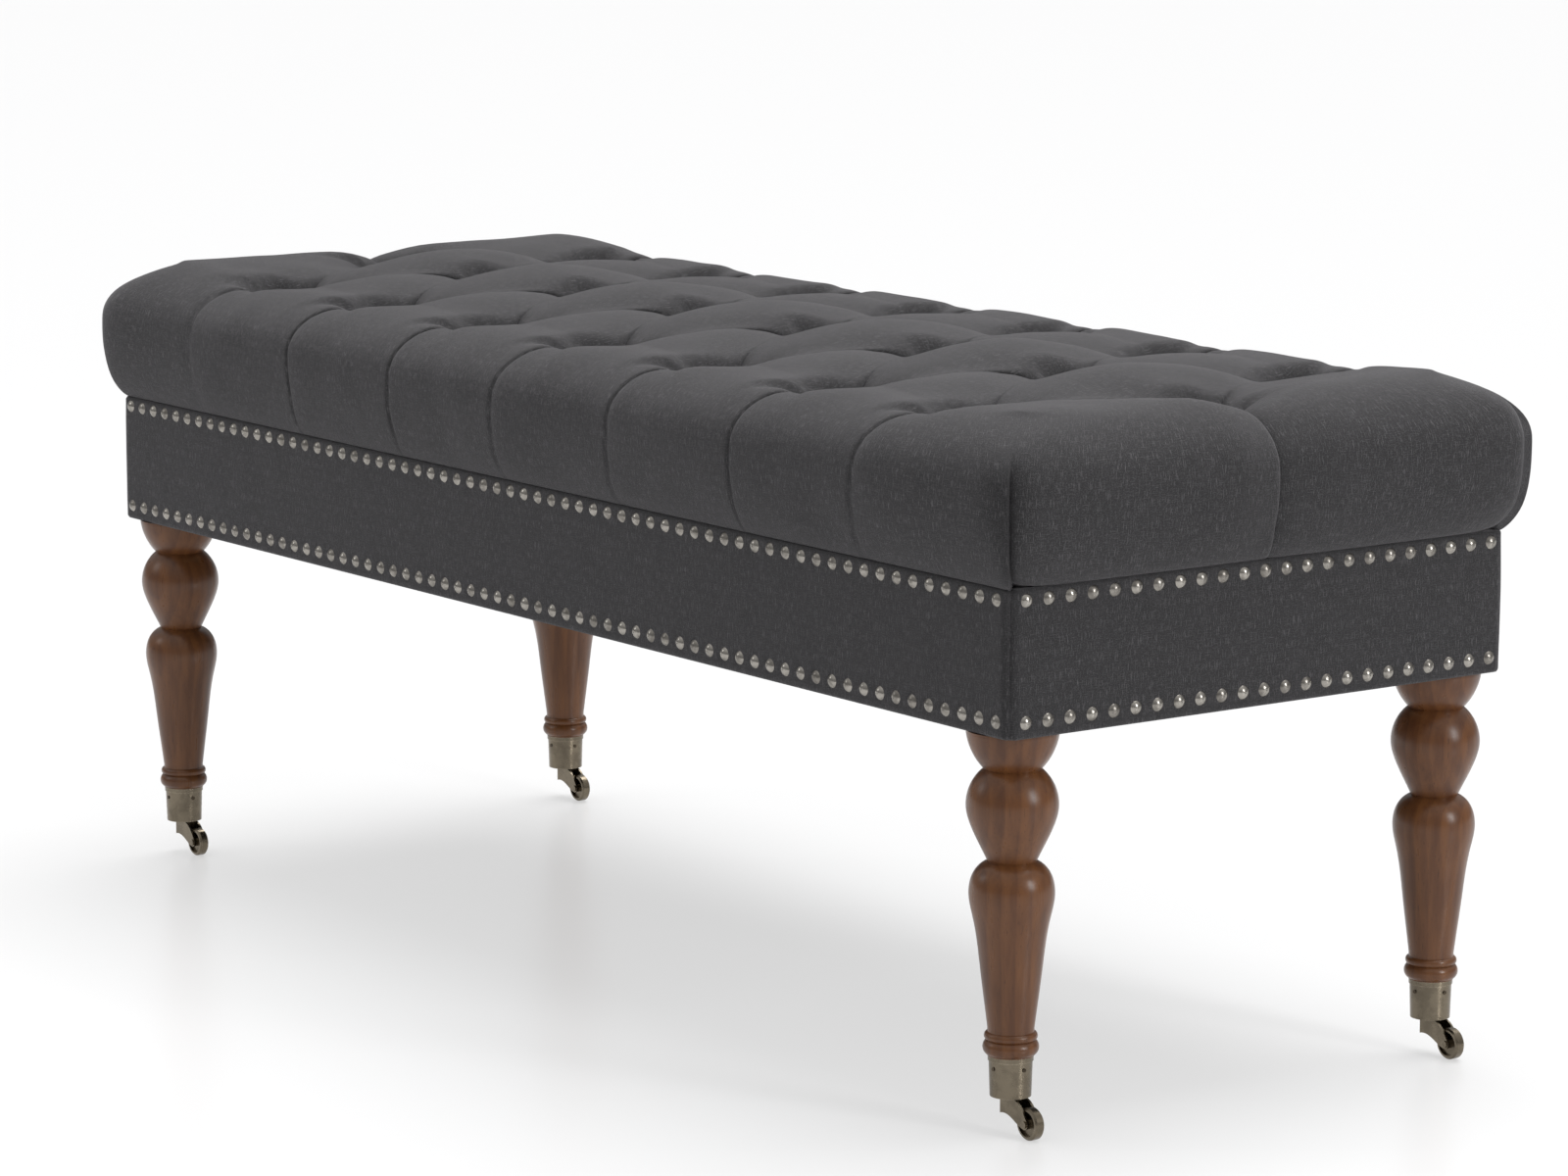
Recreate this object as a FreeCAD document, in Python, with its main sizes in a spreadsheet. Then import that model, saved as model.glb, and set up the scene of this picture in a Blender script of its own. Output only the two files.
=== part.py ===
import FreeCAD, Part
import math
import os
import re

import Sketcher
from FreeCAD import Placement, Rotation, Vector

# Tufted bench on four turned legs with brass castors.
# Origin on the floor under the middle of the bench, X along its length, front towards -Y, Z up.

doc = FreeCAD.newDocument("TuftedBench")
sheet = doc.addObject("Spreadsheet::Sheet", "Sizes")

SIZES = {
    # apron box
    "apron_length": 1245,
    "apron_width": 464,
    "apron_bottom": 293,
    "apron_height": 106.5,
    "apron_corner": 8,
    "cover_thick": 2,
    "cover_lip": 20,
    "rail_thick": 20,
    "dowel_radius": 5,
    "dowel_depth": 32,
    "dowel_spread": 25,
    "brace_thick": 20,
    "brace_height": 60,
    "block_length": 64,
    "block_width": 58,
    "block_height": 47,
    "screw_radius": 2,
    "screw_head_radius": 4,
    "screw_head_depth": 2.5,
    "block_screw_bite": 12,
    "block_screw_high": 35,
    "block_screw_low": 22,
    "deck_screw_bite": 8,
    "deck_screw_place": 120,
    "dust_thick": 1,
    "dust_inset": 9,
    "dust_notch_length": 80,
    "dust_notch_width": 74,
    # tufted seat
    "seat_height": 117.5,
    "seat_base_inset": 2,
    "seat_bulge": 18,
    "seat_bulge_height": 67.5,
    "seat_crown_inset": 45,
    "seat_corner": 22,
    "seat_lip_clear": 2,
    "deck_thick": 12,
    "deck_inset": 8,
    "deck_corner": 10,
    "deck_hole_radius": 4,
    "tuft_end_inset": 73,
    "tuft_side_inset": 77,
    "tufts_in_middle_row": 8,
    "tuft_mouth_radius": 26,
    "tuft_floor_radius": 10.5,
    "tuft_depth": 45,
    "button_radius": 9.5,
    "button_height": 6,
    "button_edge": 2.5,
    "tie_radius": 1.5,
    "washer_radius": 10,
    "washer_thick": 2.5,
    # upholstery nails
    "nail_radius": 5.5,
    "nail_height": 3,
    "nail_shank_radius": 1,
    "nail_shank_length": 13,
    "nail_first_inset": 14.7,
    "nails_along_side": 64,
    "nails_along_end": 23,
    "nail_low_row": 12,
    "nail_high_row": 98.5,
    # turned legs
    "leg_end_inset": 37,
    "leg_side_inset": 32.4,
    "leg_foot": 57.5,
    "leg_cap_radius": 33.2,
    "leg_cap_edge": 2,
    "leg_upper_neck_drop": 28,
    "leg_upper_neck_radius": 20.6,
    "leg_ball_drop": 55,
    "leg_ball_radius": 33,
    "leg_lower_neck_drop": 94.5,
    "leg_lower_neck_radius": 17.6,
    "leg_vase_drop": 117,
    "leg_vase_radius": 30.7,
    "leg_ankle_radius": 16.8,
    "leg_ankle_height": 2.5,
    "upper_bead_radius": 19.2,
    "upper_bead_height": 6,
    "lower_bead_radius": 20.2,
    "lower_bead_height": 10.5,
    "bead_root_radius": 17.6,
    "bead_lift": 1,
    "tenon_radius": 12.6,
    "tenon_length": 20.5,
    "bolt_radius": 4,
    "bolt_in_leg": 38,
    "bolt_in_block": 18,
    "insert_radius": 6,
    "insert_length": 20,
    # castors
    "cup_height": 29.5,
    "cup_lip_radius": 16.4,
    "cup_lip_height": 3.5,
    "cup_top_radius": 15.7,
    "cup_bottom_radius": 14.9,
    "cup_floor": 3,
    "cup_nail_drop": 8.5,
    "cup_nail_head_radius": 1.5,
    "cup_nail_head_height": 0.6,
    "cup_nail_shank_radius": 0.8,
    "cup_nail_shank_length": 7,
    "swivel_gap": 0.3,
    "pin_radius": 3,
    "pin_head_radius": 5,
    "pin_head_height": 2.5,
    "pin_depth": 9,
    "running_gap": 0.05,
    "castor_trail": 23.4,
    "wheel_radius": 11.8,
    "wheel_width": 8,
    "wheel_edge": 1.3,
    "wheel_rim": 2.6,
    "wheel_web": 3.6,
    "wheel_hub_radius": 3.6,
    "axle_radius": 1.5,
    "axle_head_radius": 2.6,
    "axle_head_height": 1,
    "fork_gap": 0.4,
    "fork_wall": 1.6,
    "fork_back": 4.4,
    "fork_stem_drop": 12.6,
    "fork_web_reach": 7.5,
    "fork_crown_reach": 11,
    "fork_boss_radius": 3.7,
}

for row, (alias, amount) in enumerate(SIZES.items(), start=1):
    sheet.set(f"A{row}", alias)
    sheet.set(f"B{row}", str(amount))
    sheet.setAlias(f"B{row}", alias)
doc.recompute()


def bound(text):
    """Turn plain size names into references to the sheet."""
    return re.sub(r"[a-z_]+", lambda word: "Sizes." + word.group(0), text)


def number(text):
    """Work an expression of size names out, in millimetres."""
    return float(sheet.evalExpression(bound(text)))


def sized(name):
    """Read one size from the sheet."""
    return float(sheet.get(name))


# Places that several pieces share, as expressions of the sheet's sizes.
APRON_TOP = "(apron_bottom + apron_height)"
RAIL_LOW = "(apron_bottom + cover_thick)"
RAIL_HIGH = f"({APRON_TOP} - cover_thick)"
RAIL_MIDDLE = f"(({RAIL_LOW} + {RAIL_HIGH}) / 2)"
RAIL_OUT_X = "(apron_length / 2 - cover_thick)"
RAIL_OUT_Y = "(apron_width / 2 - cover_thick)"
RAIL_IN_X = f"({RAIL_OUT_X} - rail_thick)"
RAIL_IN_Y = f"({RAIL_OUT_Y} - rail_thick)"
RAIL_CENTRE_X = f"({RAIL_OUT_X} - rail_thick / 2)"
LEG_X = "(apron_length / 2 - leg_end_inset)"
LEG_Y = "(apron_width / 2 - leg_side_inset)"
DECK_LOW = f"({APRON_TOP} + cover_thick)"
DECK_HIGH = f"({DECK_LOW} + deck_thick)"
SEAT_TOP = f"({APRON_TOP} + seat_height)"
TUFT_FLOOR = f"({SEAT_TOP} - tuft_depth)"
CUP_LOW = "(leg_foot - cup_height)"
TUFT_PITCH = "((apron_length - 2 * tuft_end_inset) / (tufts_in_middle_row - 1))"
# a cross brace runs midway between two columns of tufts, clear of their washers
BRACE_X = f"(1.25 * {TUFT_PITCH})"

SIDES = {"left": -1, "right": 1}
DEPTHS = {"front": -1, "back": 1}
CORNERS = {f"{depth}_{side}": (SIDES[side], DEPTHS[depth]) for depth in DEPTHS for side in SIDES}

nodes = []


def signed(sign, text):
    """An expression on one side of the middle."""
    return f"({sign} * {text})"


def keep(thing, label):
    """Name a finished sub-part."""
    thing.Label = label
    nodes.append(thing)
    return thing


# Primitives bound to the sheet

def place(thing, x, y, z):
    for axis, text in (("x", x), ("y", y), ("z", z)):
        thing.setExpression(f"Placement.Base.{axis}", bound(text))


def box(x, y, z, length, width, height):
    thing = doc.addObject("Part::Box", "Block")
    thing.setExpression("Length", bound(length))
    thing.setExpression("Width", bound(width))
    thing.setExpression("Height", bound(height))
    place(thing, x, y, z)
    return thing


TURNS = {
    "+Z": Rotation(),
    "+X": Rotation(Vector(0, 1, 0), 90),
    "-X": Rotation(Vector(0, 1, 0), -90),
    "+Y": Rotation(Vector(1, 0, 0), -90),
    "-Y": Rotation(Vector(1, 0, 0), 90),
}


def rod(x, y, z, radius, height, along="+Z"):
    thing = doc.addObject("Part::Cylinder", "Rod")
    thing.setExpression("Radius", bound(radius))
    thing.setExpression("Height", bound(height))
    thing.Placement = Placement(Vector(), TURNS[along])
    place(thing, x, y, z)
    return thing


def group(members):
    thing = doc.addObject("Part::Compound", "Group")
    thing.Links = members
    return thing


def joined(members):
    thing = doc.addObject("Part::MultiFuse", "Joined")
    thing.Shapes = members
    return thing


def cut(base, tools):
    thing = doc.addObject("Part::Cut", "Cut")
    thing.Base = base
    thing.Tool = tools[0] if len(tools) == 1 else group(tools)
    return thing


# Bodies made from sketches

def plane(body, role):
    for feature in body.Origin.OriginFeatures:
        if feature.Role == role:
            return feature
    raise RuntimeError("no plane " + role)


def sketch_on(body, role, height="0"):
    sketch = body.newObject("Sketcher::SketchObject", "Sketch")
    sketch.AttachmentSupport = (plane(body, role), "")
    sketch.MapMode = "FlatFace"
    if height != "0":
        sketch.setExpression("AttachmentOffset.Base.z", bound(height))
    return sketch


def pin_point(sketch, edge, point, corner):
    """Hold one point of an edge at a place worked out from the sheet."""
    for kind, axis, text in (("DistanceX", -2, corner[0]), ("DistanceY", -1, corner[1])):
        if text == "0":
            sketch.addConstraint(Sketcher.Constraint("PointOnObject", edge, point, axis))
        else:
            rule = Sketcher.Constraint(kind, edge, point, number(text))
            index = sketch.addConstraint(rule)
            sketch.setExpression(f"Constraints[{index}]", bound(text))


def outline(sketch, corners):
    """Close straight edges through corners that follow the sheet."""
    count = len(corners)
    first = sketch.GeometryCount
    places = [Vector(number(x), number(y), 0) for x, y in corners]
    for i in range(count):
        sketch.addGeometry(Part.LineSegment(places[i], places[(i + 1) % count]), False)
    for i in range(count):
        edge = first + i
        following = first + (i + 1) % count
        sketch.addConstraint(Sketcher.Constraint("Coincident", edge, 2, following, 1))
        pin_point(sketch, edge, 1, corners[i])


def circle(sketch, x, y, radius):
    centre = Vector(number(x), number(y), 0)
    edge = sketch.addGeometry(Part.Circle(centre, Vector(0, 0, 1), number(radius)), False)
    index = sketch.addConstraint(Sketcher.Constraint("Radius", edge, number(radius)))
    sketch.setExpression(f"Constraints[{index}]", bound(radius))
    pin_point(sketch, edge, 3, (x, y))


def pad(body, sketch, length):
    feature = body.newObject("PartDesign::Pad", "Pad")
    feature.Profile = sketch
    feature.setExpression("Length", bound(length))
    return feature


def revolved(body, sketch):
    """Turn a profile about the sketch's upright axis."""
    feature = body.newObject("PartDesign::Revolution", "Turned")
    feature.Profile = sketch
    feature.ReferenceAxis = (sketch, ["V_Axis"])
    feature.Angle = 360
    return feature


def fillet(body, base, radius, wanted):
    """Round the edges of a feature whose middles pass a test."""
    doc.recompute()
    names = [
        f"Edge{i}"
        for i, edge in enumerate(base.Shape.Edges, start=1)
        if wanted(edge.CenterOfMass)
    ]
    feature = body.newObject("PartDesign::Fillet", "Rounded")
    feature.Base = (base, names)
    feature.setExpression("Radius", bound(radius))
    return feature


# Shapes set from sheet values

def rounded_box(half_x, half_y, radius, low, high):
    """An upright box with rounded corners in plan."""
    wire = rounded_outline(half_x, half_y, radius, low)
    return Part.Face(wire).extrude(Vector(0, 0, high - low))


def rounded_outline(half_x, half_y, radius, height):
    edges = []
    corners = [(1, 1), (-1, 1), (-1, -1), (1, -1)]
    for i, (sx, sy) in enumerate(corners):
        cx = sx * (half_x - radius)
        cy = sy * (half_y - radius)
        start = math.radians(90 * i)
        points = [
            Vector(cx + radius * math.cos(start + t), cy + radius * math.sin(start + t), height)
            for t in (0, math.pi / 4, math.pi / 2)
        ]
        edges.append(Part.Arc(*points).toShape())
    joined_up = []
    for i, arc in enumerate(edges):
        following = edges[(i + 1) % 4]
        start = arc.Vertexes[-1].Point
        end = following.Vertexes[0].Point
        joined_up += [arc, Part.makeLine(start, end)]
    return Part.Wire(joined_up)


def shaped(shape, label, where=Vector(), turn=Rotation()):
    """A sub-part whose shape is set from sheet values, then placed."""
    thing = doc.addObject("Part::Feature", label)
    thing.Shape = shape
    thing.Placement = Placement(where, turn)
    return keep(thing, label)


def turned(edges):
    """Turn a half profile in the XZ plane about Z."""
    face = Part.Face(Part.Wire(edges))
    return face.revolve(Vector(), Vector(0, 0, 1), 360)


def chain(*corners):
    """Straight edges through (radius, height) corners."""
    points = [Vector(r, 0, h) for r, h in corners]
    return [Part.makeLine(a, b) for a, b in zip(points, points[1:])]


def curve(*corners):
    """A smooth edge through (radius, height) points."""
    line = Part.BSplineCurve()
    line.interpolate([Vector(r, 0, h) for r, h in corners])
    return line.toShape()


def arc(start, through, end):
    points = [Vector(r, 0, h) for r, h in (start, through, end)]
    return Part.Arc(*points).toShape()


def dome(radius, foot, rise):
    """A part of a ball's outline from its rim up to its top on the axis."""
    ball = (radius ** 2 + rise ** 2) / (2 * rise)
    half = math.asin(radius / ball) / 2
    shoulder = (ball * math.sin(half), foot + rise - ball + ball * math.cos(half))
    return arc((radius, foot), shoulder, (0, foot + rise))


# Apron frame: two long rails, two end rails doweled between them, two cross braces.

DOWEL_HEIGHTS = (f"({RAIL_MIDDLE} - dowel_spread)", f"({RAIL_MIDDLE} + dowel_spread)")
BRACE_MIDDLE = f"({DECK_LOW} - brace_height / 2)"
BRACE_LOW = f"({DECK_LOW} - brace_height)"


def dowel_places():
    """Where dowels cross the long rails, as (x, z)."""
    places = [(signed(s, RAIL_CENTRE_X), z) for s in SIDES.values() for z in DOWEL_HEIGHTS]
    places += [(signed(s, BRACE_X), BRACE_MIDDLE) for s in SIDES.values()]
    return places


def rail_between(depth):
    """A long rail as a padded front view with its dowel holes."""
    body = doc.addObject("PartDesign::Body", "LongRail")
    # the sketch looks along +Y, so its own height runs towards -Y
    near = RAIL_IN_Y if depth == "front" else signed(-1, RAIL_OUT_Y)
    sketch = sketch_on(body, "XZ_Plane", near)
    low_x = signed(-1, RAIL_OUT_X)
    outline(sketch, [(low_x, RAIL_LOW), (RAIL_OUT_X, RAIL_LOW), (RAIL_OUT_X, RAIL_HIGH),
                     (low_x, RAIL_HIGH)])
    for x, z in dowel_places():
        circle(sketch, x, z, "dowel_radius")
    base = pad(body, sketch, "rail_thick")
    outside = DEPTHS[depth] * number(RAIL_OUT_Y)

    def outer_corner(middle):
        at_end = abs(abs(middle.x) - number(RAIL_OUT_X)) < 0.01
        return at_end and abs(middle.y - outside) < 0.01

    body.Tip = fillet(body, base, "(apron_corner - cover_thick)", outer_corner)
    return keep(body, f"{depth}_rail")


for depth in DEPTHS:
    rail_between(depth)

for side, s in SIDES.items():
    start = RAIL_IN_X if s > 0 else signed(-1, RAIL_OUT_X)
    rail = box(start, signed(-1, RAIL_IN_Y), RAIL_LOW, "rail_thick", f"(2 * {RAIL_IN_Y})",
               f"({RAIL_HIGH} - {RAIL_LOW})")
    holes = [
        rod(signed(s, RAIL_CENTRE_X), signed(d, RAIL_IN_Y), z, "dowel_radius", "dowel_depth",
            "-Y" if d > 0 else "+Y")
        for d in DEPTHS.values() for z in DOWEL_HEIGHTS
    ]
    keep(cut(rail, holes), f"{side}_rail")

for side, s in SIDES.items():
    centre = signed(s, BRACE_X)
    brace = box(f"({centre} - brace_thick / 2)", signed(-1, RAIL_IN_Y), BRACE_LOW, "brace_thick",
                f"(2 * {RAIL_IN_Y})", "brace_height")
    holes = [
        rod(centre, signed(d, RAIL_IN_Y), BRACE_MIDDLE, "dowel_radius", "dowel_depth",
            "-Y" if d > 0 else "+Y")
        for d in DEPTHS.values()
    ]
    keep(cut(brace, holes), f"cross_brace_{side}")

keep(group([
    rod(x, signed(d, RAIL_OUT_Y), z, "dowel_radius", "(rail_thick + dowel_depth)",
        "-Y" if d > 0 else "+Y")
    for d in DEPTHS.values() for x, z in dowel_places()
]), "rail_dowels")

# Corner blocks carry the legs and are screwed to both rails.

for corner, (sx, sy) in CORNERS.items():
    start_x = f"({RAIL_IN_X} - block_length)" if sx > 0 else signed(-1, RAIL_IN_X)
    start_y = f"({RAIL_IN_Y} - block_width)" if sy > 0 else signed(-1, RAIL_IN_Y)
    block = box(start_x, start_y, "apron_bottom", "block_length", "block_width", "block_height")
    leg_x = signed(sx, LEG_X)
    leg_y = signed(sy, LEG_Y)
    hole = rod(leg_x, leg_y, "apron_bottom", "insert_radius", "insert_length")
    keep(cut(block, [hole]), f"corner_block_{corner}")


def screw(x, y, z, length, along):
    """A countersunk screw, its head's face at the place given."""
    shank = rod(x, y, z, "screw_radius", length, along)
    head = rod(x, y, z, "screw_head_radius", "screw_head_depth", along)
    return joined([shank, head])


block_screws = []
for sx, sy in CORNERS.values():
    block_end = f"({RAIL_IN_X} - block_length)"
    block_face = f"({RAIL_IN_Y} - block_width)"
    along_x = "+X" if sx > 0 else "-X"
    along_y = "+Y" if sy > 0 else "-Y"
    block_screws.append(screw(signed(sx, block_end), signed(sy, f"({block_face} + block_width / 2)"),
                              "(apron_bottom + block_screw_high)",
                              "(block_length + block_screw_bite)", along_x))
    block_screws.append(screw(signed(sx, f"({block_end} + block_length / 3)"),
                              signed(sy, block_face), "(apron_bottom + block_screw_low)",
                              "(block_width + block_screw_bite)", along_y))
keep(group(block_screws), "block_screws")

keep(group([
    screw(signed(s, BRACE_X), signed(d, "deck_screw_place"), BRACE_LOW,
          "(brace_height + deck_screw_bite)", "+Z")
    for s in SIDES.values() for d in DEPTHS.values()
]), "deck_screws")

# Apron upholstery: one fabric panel to each side, wrapped over and under the rails, mitred.


def apron_panels():
    half_x = sized("apron_length") / 2
    half_y = sized("apron_width") / 2
    thick = sized("cover_thick")
    corner = sized("apron_corner")
    low = sized("apron_bottom")
    high = number(APRON_TOP)
    reach = thick + sized("cover_lip")
    sleeve = rounded_box(half_x, half_y, corner, low, high)
    frame = rounded_box(half_x - thick, half_y - thick, corner - thick, low + thick, high - thick)
    middle = Part.makeBox(2 * (half_x - reach), 2 * (half_y - reach), high - low,
                          Vector(reach - half_x, reach - half_y, low))
    sleeve = sleeve.cut(frame).cut(middle)
    outer = [Vector(sx * half_x, sy * half_y, low)
             for sx, sy in ((-1, -1), (1, -1), (1, 1), (-1, 1))]
    inner = [Vector(sx * (half_x - reach), sy * (half_y - reach), low)
             for sx, sy in ((-1, -1), (1, -1), (1, 1), (-1, 1))]
    for i, side in enumerate(("front", "right", "back", "left")):
        j = (i + 1) % 4
        wedge = Part.Face(Part.makePolygon([outer[i], outer[j], inner[j], inner[i], outer[i]]))
        shaped(sleeve.common(wedge.extrude(Vector(0, 0, high - low))), f"apron_cover_{side}")


apron_panels()

# Dust cover: thin cloth stapled under the frame, notched clear of the legs.


def dust_cover():
    body = doc.addObject("PartDesign::Body", "DustCover")
    sketch = sketch_on(body, "XY_Plane", "(apron_bottom - dust_thick)")
    far_x = "(apron_length / 2 - dust_inset)"
    far_y = "(apron_width / 2 - dust_inset)"
    near_x = "(apron_length / 2 - dust_notch_length)"
    near_y = "(apron_width / 2 - dust_notch_width)"
    corners = []
    for sx, sy in ((1, 1), (-1, 1), (-1, -1), (1, -1)):
        step = [(far_x, near_y), (near_x, near_y), (near_x, far_y)]
        if sx * sy < 0:
            step.reverse()
        corners += [(signed(sx, x), signed(sy, y)) for x, y in step]
    outline(sketch, corners)
    body.Tip = pad(body, sketch, "dust_thick")
    keep(body, "dust_cover")


dust_cover()

# Upholstery nails: two rows on each side of the apron.


def nail():
    """A domed nail along +Z, with the underside of its head at the origin."""
    radius = sized("nail_radius")
    height = sized("nail_height")
    shank = sized("nail_shank_radius")
    length = sized("nail_shank_length")
    rest = chain((0, height), (0, -length), (shank, -length), (shank, 0), (radius, 0))
    return turned([dome(radius, 0, height)] + rest)


def nail_row(count, half, fixed, height, turn):
    """Nails along one side at one height, evenly spaced between the first and the last."""
    reach = half - sized("nail_first_inset")
    copies = []
    for i in range(count):
        along = -reach + 2 * reach * i / (count - 1)
        copy = nail()
        copy.Placement = Placement(Vector(along, -fixed, height), Rotation(Vector(1, 0, 0), 90))
        copy.Placement = Placement(Vector(), Rotation(Vector(0, 0, 1), turn)) * copy.Placement
        copies.append(copy)
    return copies


def apron_nails():
    half_x = sized("apron_length") / 2
    half_y = sized("apron_width") / 2
    long_row = int(sized("nails_along_side"))
    short_row = int(sized("nails_along_end"))
    rows = {
        "front": (long_row, half_x, half_y, 0),
        "right": (short_row, half_y, half_x, 90),
        "back": (long_row, half_x, half_y, 180),
        "left": (short_row, half_y, half_x, 270),
    }
    for side, (count, half, fixed, turn) in rows.items():
        copies = []
        for row in ("nail_low_row", "nail_high_row"):
            height = sized("apron_bottom") + sized(row)
            copies += nail_row(count, half, fixed, height, turn)
        shaped(Part.makeCompound(copies), f"nails_{side}")


apron_nails()

# Seat: a board, a foam pad with button wells, and the tufted cover pulled over both.


SIDE_ROW_Y = "(apron_width / 2 - tuft_side_inset)"


def tuft_places():
    """Where the tufts are, as expressions of x and y; a side row has one fewer and sits between."""
    middle_count = int(sized("tufts_in_middle_row"))
    rows = ((middle_count - 1, signed(-1, SIDE_ROW_Y)), (middle_count, "0"),
            (middle_count - 1, SIDE_ROW_Y))
    return [(signed(i - (count - 1) / 2, TUFT_PITCH), y) for count, y in rows
            for i in range(count)]


TUFTS = tuft_places()

# How the pillow's side swells between its foot and its widest line, and how a well narrows.
BELLY_POWER = 1.3
LOWER_STEPS = 4
UPPER_STEPS = 5
THROAT_REACH = 0.22
THROAT_DEPTH = 0.42
OVER = 1


def pillow(shrink):
    """The seat's rounded form, drawn in on every side by shrink."""
    low = number(APRON_TOP)
    bulge_high = low + sized("seat_bulge_height")
    half_x = sized("apron_length") / 2
    half_y = sized("apron_width") / 2
    base = -sized("seat_base_inset")
    bulge = sized("seat_bulge")
    crown = -sized("seat_crown_inset")
    corner = sized("seat_corner")
    lower_height = sized("seat_bulge_height") - shrink
    upper_height = sized("seat_height") - sized("seat_bulge_height") - shrink
    profile = []
    for step in range(LOWER_STEPS, 0, -1):
        turn = math.pi / 2 * step / LOWER_STEPS
        swell = max(math.cos(turn), 0) ** BELLY_POWER
        profile.append((base + (bulge - base) * swell,
                        bulge_high - lower_height * math.sin(turn)))
    for step in range(UPPER_STEPS + 1):
        turn = math.pi / 2 * step / UPPER_STEPS
        profile.append((crown + (bulge - crown) * math.cos(turn),
                        bulge_high + upper_height * math.sin(turn)))
    wires = [
        rounded_outline(half_x + out - shrink, half_y + out - shrink, corner - shrink, height)
        for out, height in profile
    ]
    return Part.makeLoft(wires, True, False)


def well(spread):
    """The hollow that one button pulls into the seat, wider by spread."""
    top = number(SEAT_TOP)
    floor = number(TUFT_FLOOR) - spread
    mouth = sized("tuft_mouth_radius") + spread
    bottom = sized("tuft_floor_radius") + spread
    throat = (bottom + THROAT_REACH * (mouth - bottom),
              top - spread - THROAT_DEPTH * (top - spread - floor))
    wall = arc((mouth, top - spread), throat, (bottom, floor))
    rest = chain((bottom, floor), (0, floor), (0, top + OVER), (mouth, top + OVER),
                 (mouth, top - spread))
    return turned([wall] + rest)


def at_tufts(shape):
    copies = []
    for x, y in TUFTS:
        copy = shape.copy()
        copy.Placement = Placement(Vector(number(x), number(y), 0), Rotation())
        copies.append(copy)
    return Part.makeCompound(copies)


def seat_solids():
    thick = sized("cover_thick")
    tie = Part.makeCylinder(sized("tie_radius"), sized("seat_height"),
                            Vector(0, 0, number(APRON_TOP)))
    ties = at_tufts(tie)
    lining = pillow(thick).cut(at_tufts(well(thick)))
    foot_x = sized("apron_length") / 2 - sized("deck_inset")
    foot_y = sized("apron_width") / 2 - sized("deck_inset")
    deck = rounded_box(foot_x, foot_y, sized("deck_corner"), number(DECK_LOW) - OVER,
                       number(DECK_HIGH))
    foam = lining.cut(deck).cut(ties)
    open_x = number(RAIL_IN_X) + sized("seat_lip_clear")
    open_y = number(RAIL_IN_Y) + sized("seat_lip_clear")
    mouth = Part.makeBox(2 * open_x, 2 * open_y, 2 * thick,
                         Vector(-open_x, -open_y, number(APRON_TOP) - thick / 2))
    cover = pillow(0).cut(at_tufts(well(0))).cut(lining).cut(mouth).cut(ties)
    shaped(foam, "seat_foam")
    shaped(cover, "seat_cover")


seat_solids()


def seat_deck():
    body = doc.addObject("PartDesign::Body", "SeatDeck")
    sketch = sketch_on(body, "XY_Plane", DECK_LOW)
    far_x = "(apron_length / 2 - deck_inset)"
    far_y = "(apron_width / 2 - deck_inset)"
    outline(sketch, [(signed(sx, far_x), signed(sy, far_y))
                     for sx, sy in ((1, 1), (-1, 1), (-1, -1), (1, -1))])
    for x, y in TUFTS:
        circle(sketch, x, y, "deck_hole_radius")
    board = pad(body, sketch, "deck_thick")

    def plan_corner(middle):
        at_end = abs(abs(middle.x) - number(far_x)) < 0.01
        return at_end and abs(abs(middle.y) - number(far_y)) < 0.01

    body.Tip = fillet(body, board, "deck_corner", plan_corner)
    keep(body, "seat_deck")


seat_deck()

keep(group([
    rod(x, y, f"({DECK_LOW} - washer_thick)", "tie_radius",
        f"({TUFT_FLOOR} - {DECK_LOW} + washer_thick)")
    for x, y in TUFTS
]), "tuft_ties")

keep(group([
    cut(rod(x, y, f"({DECK_LOW} - washer_thick)", "washer_radius", "washer_thick"),
        [rod(x, y, f"({DECK_LOW} - washer_thick)", "tie_radius", "washer_thick")])
    for x, y in TUFTS
]), "tuft_washers")


def tuft_buttons():
    """Cloth-covered buttons with crowned faces, one at the foot of each well."""
    radius = sized("button_radius")
    height = sized("button_height")
    edge = sized("button_edge")
    floor = number(TUFT_FLOOR)
    crown = dome(radius, floor + edge, height - edge)
    rest = chain((0, floor + height), (0, floor), (radius, floor), (radius, floor + edge))
    shaped(at_tufts(turned([crown] + rest)), "tuft_buttons")


tuft_buttons()

# Legs: turned below the apron, with a tenon for the castor cup and a bolt up into the block.


def between(a, b, out, down):
    """A point part of the way from a to b, out in radius or length and down in height."""
    return a[0] + out * (b[0] - a[0]), a[1] + down * (b[1] - a[1])


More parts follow.
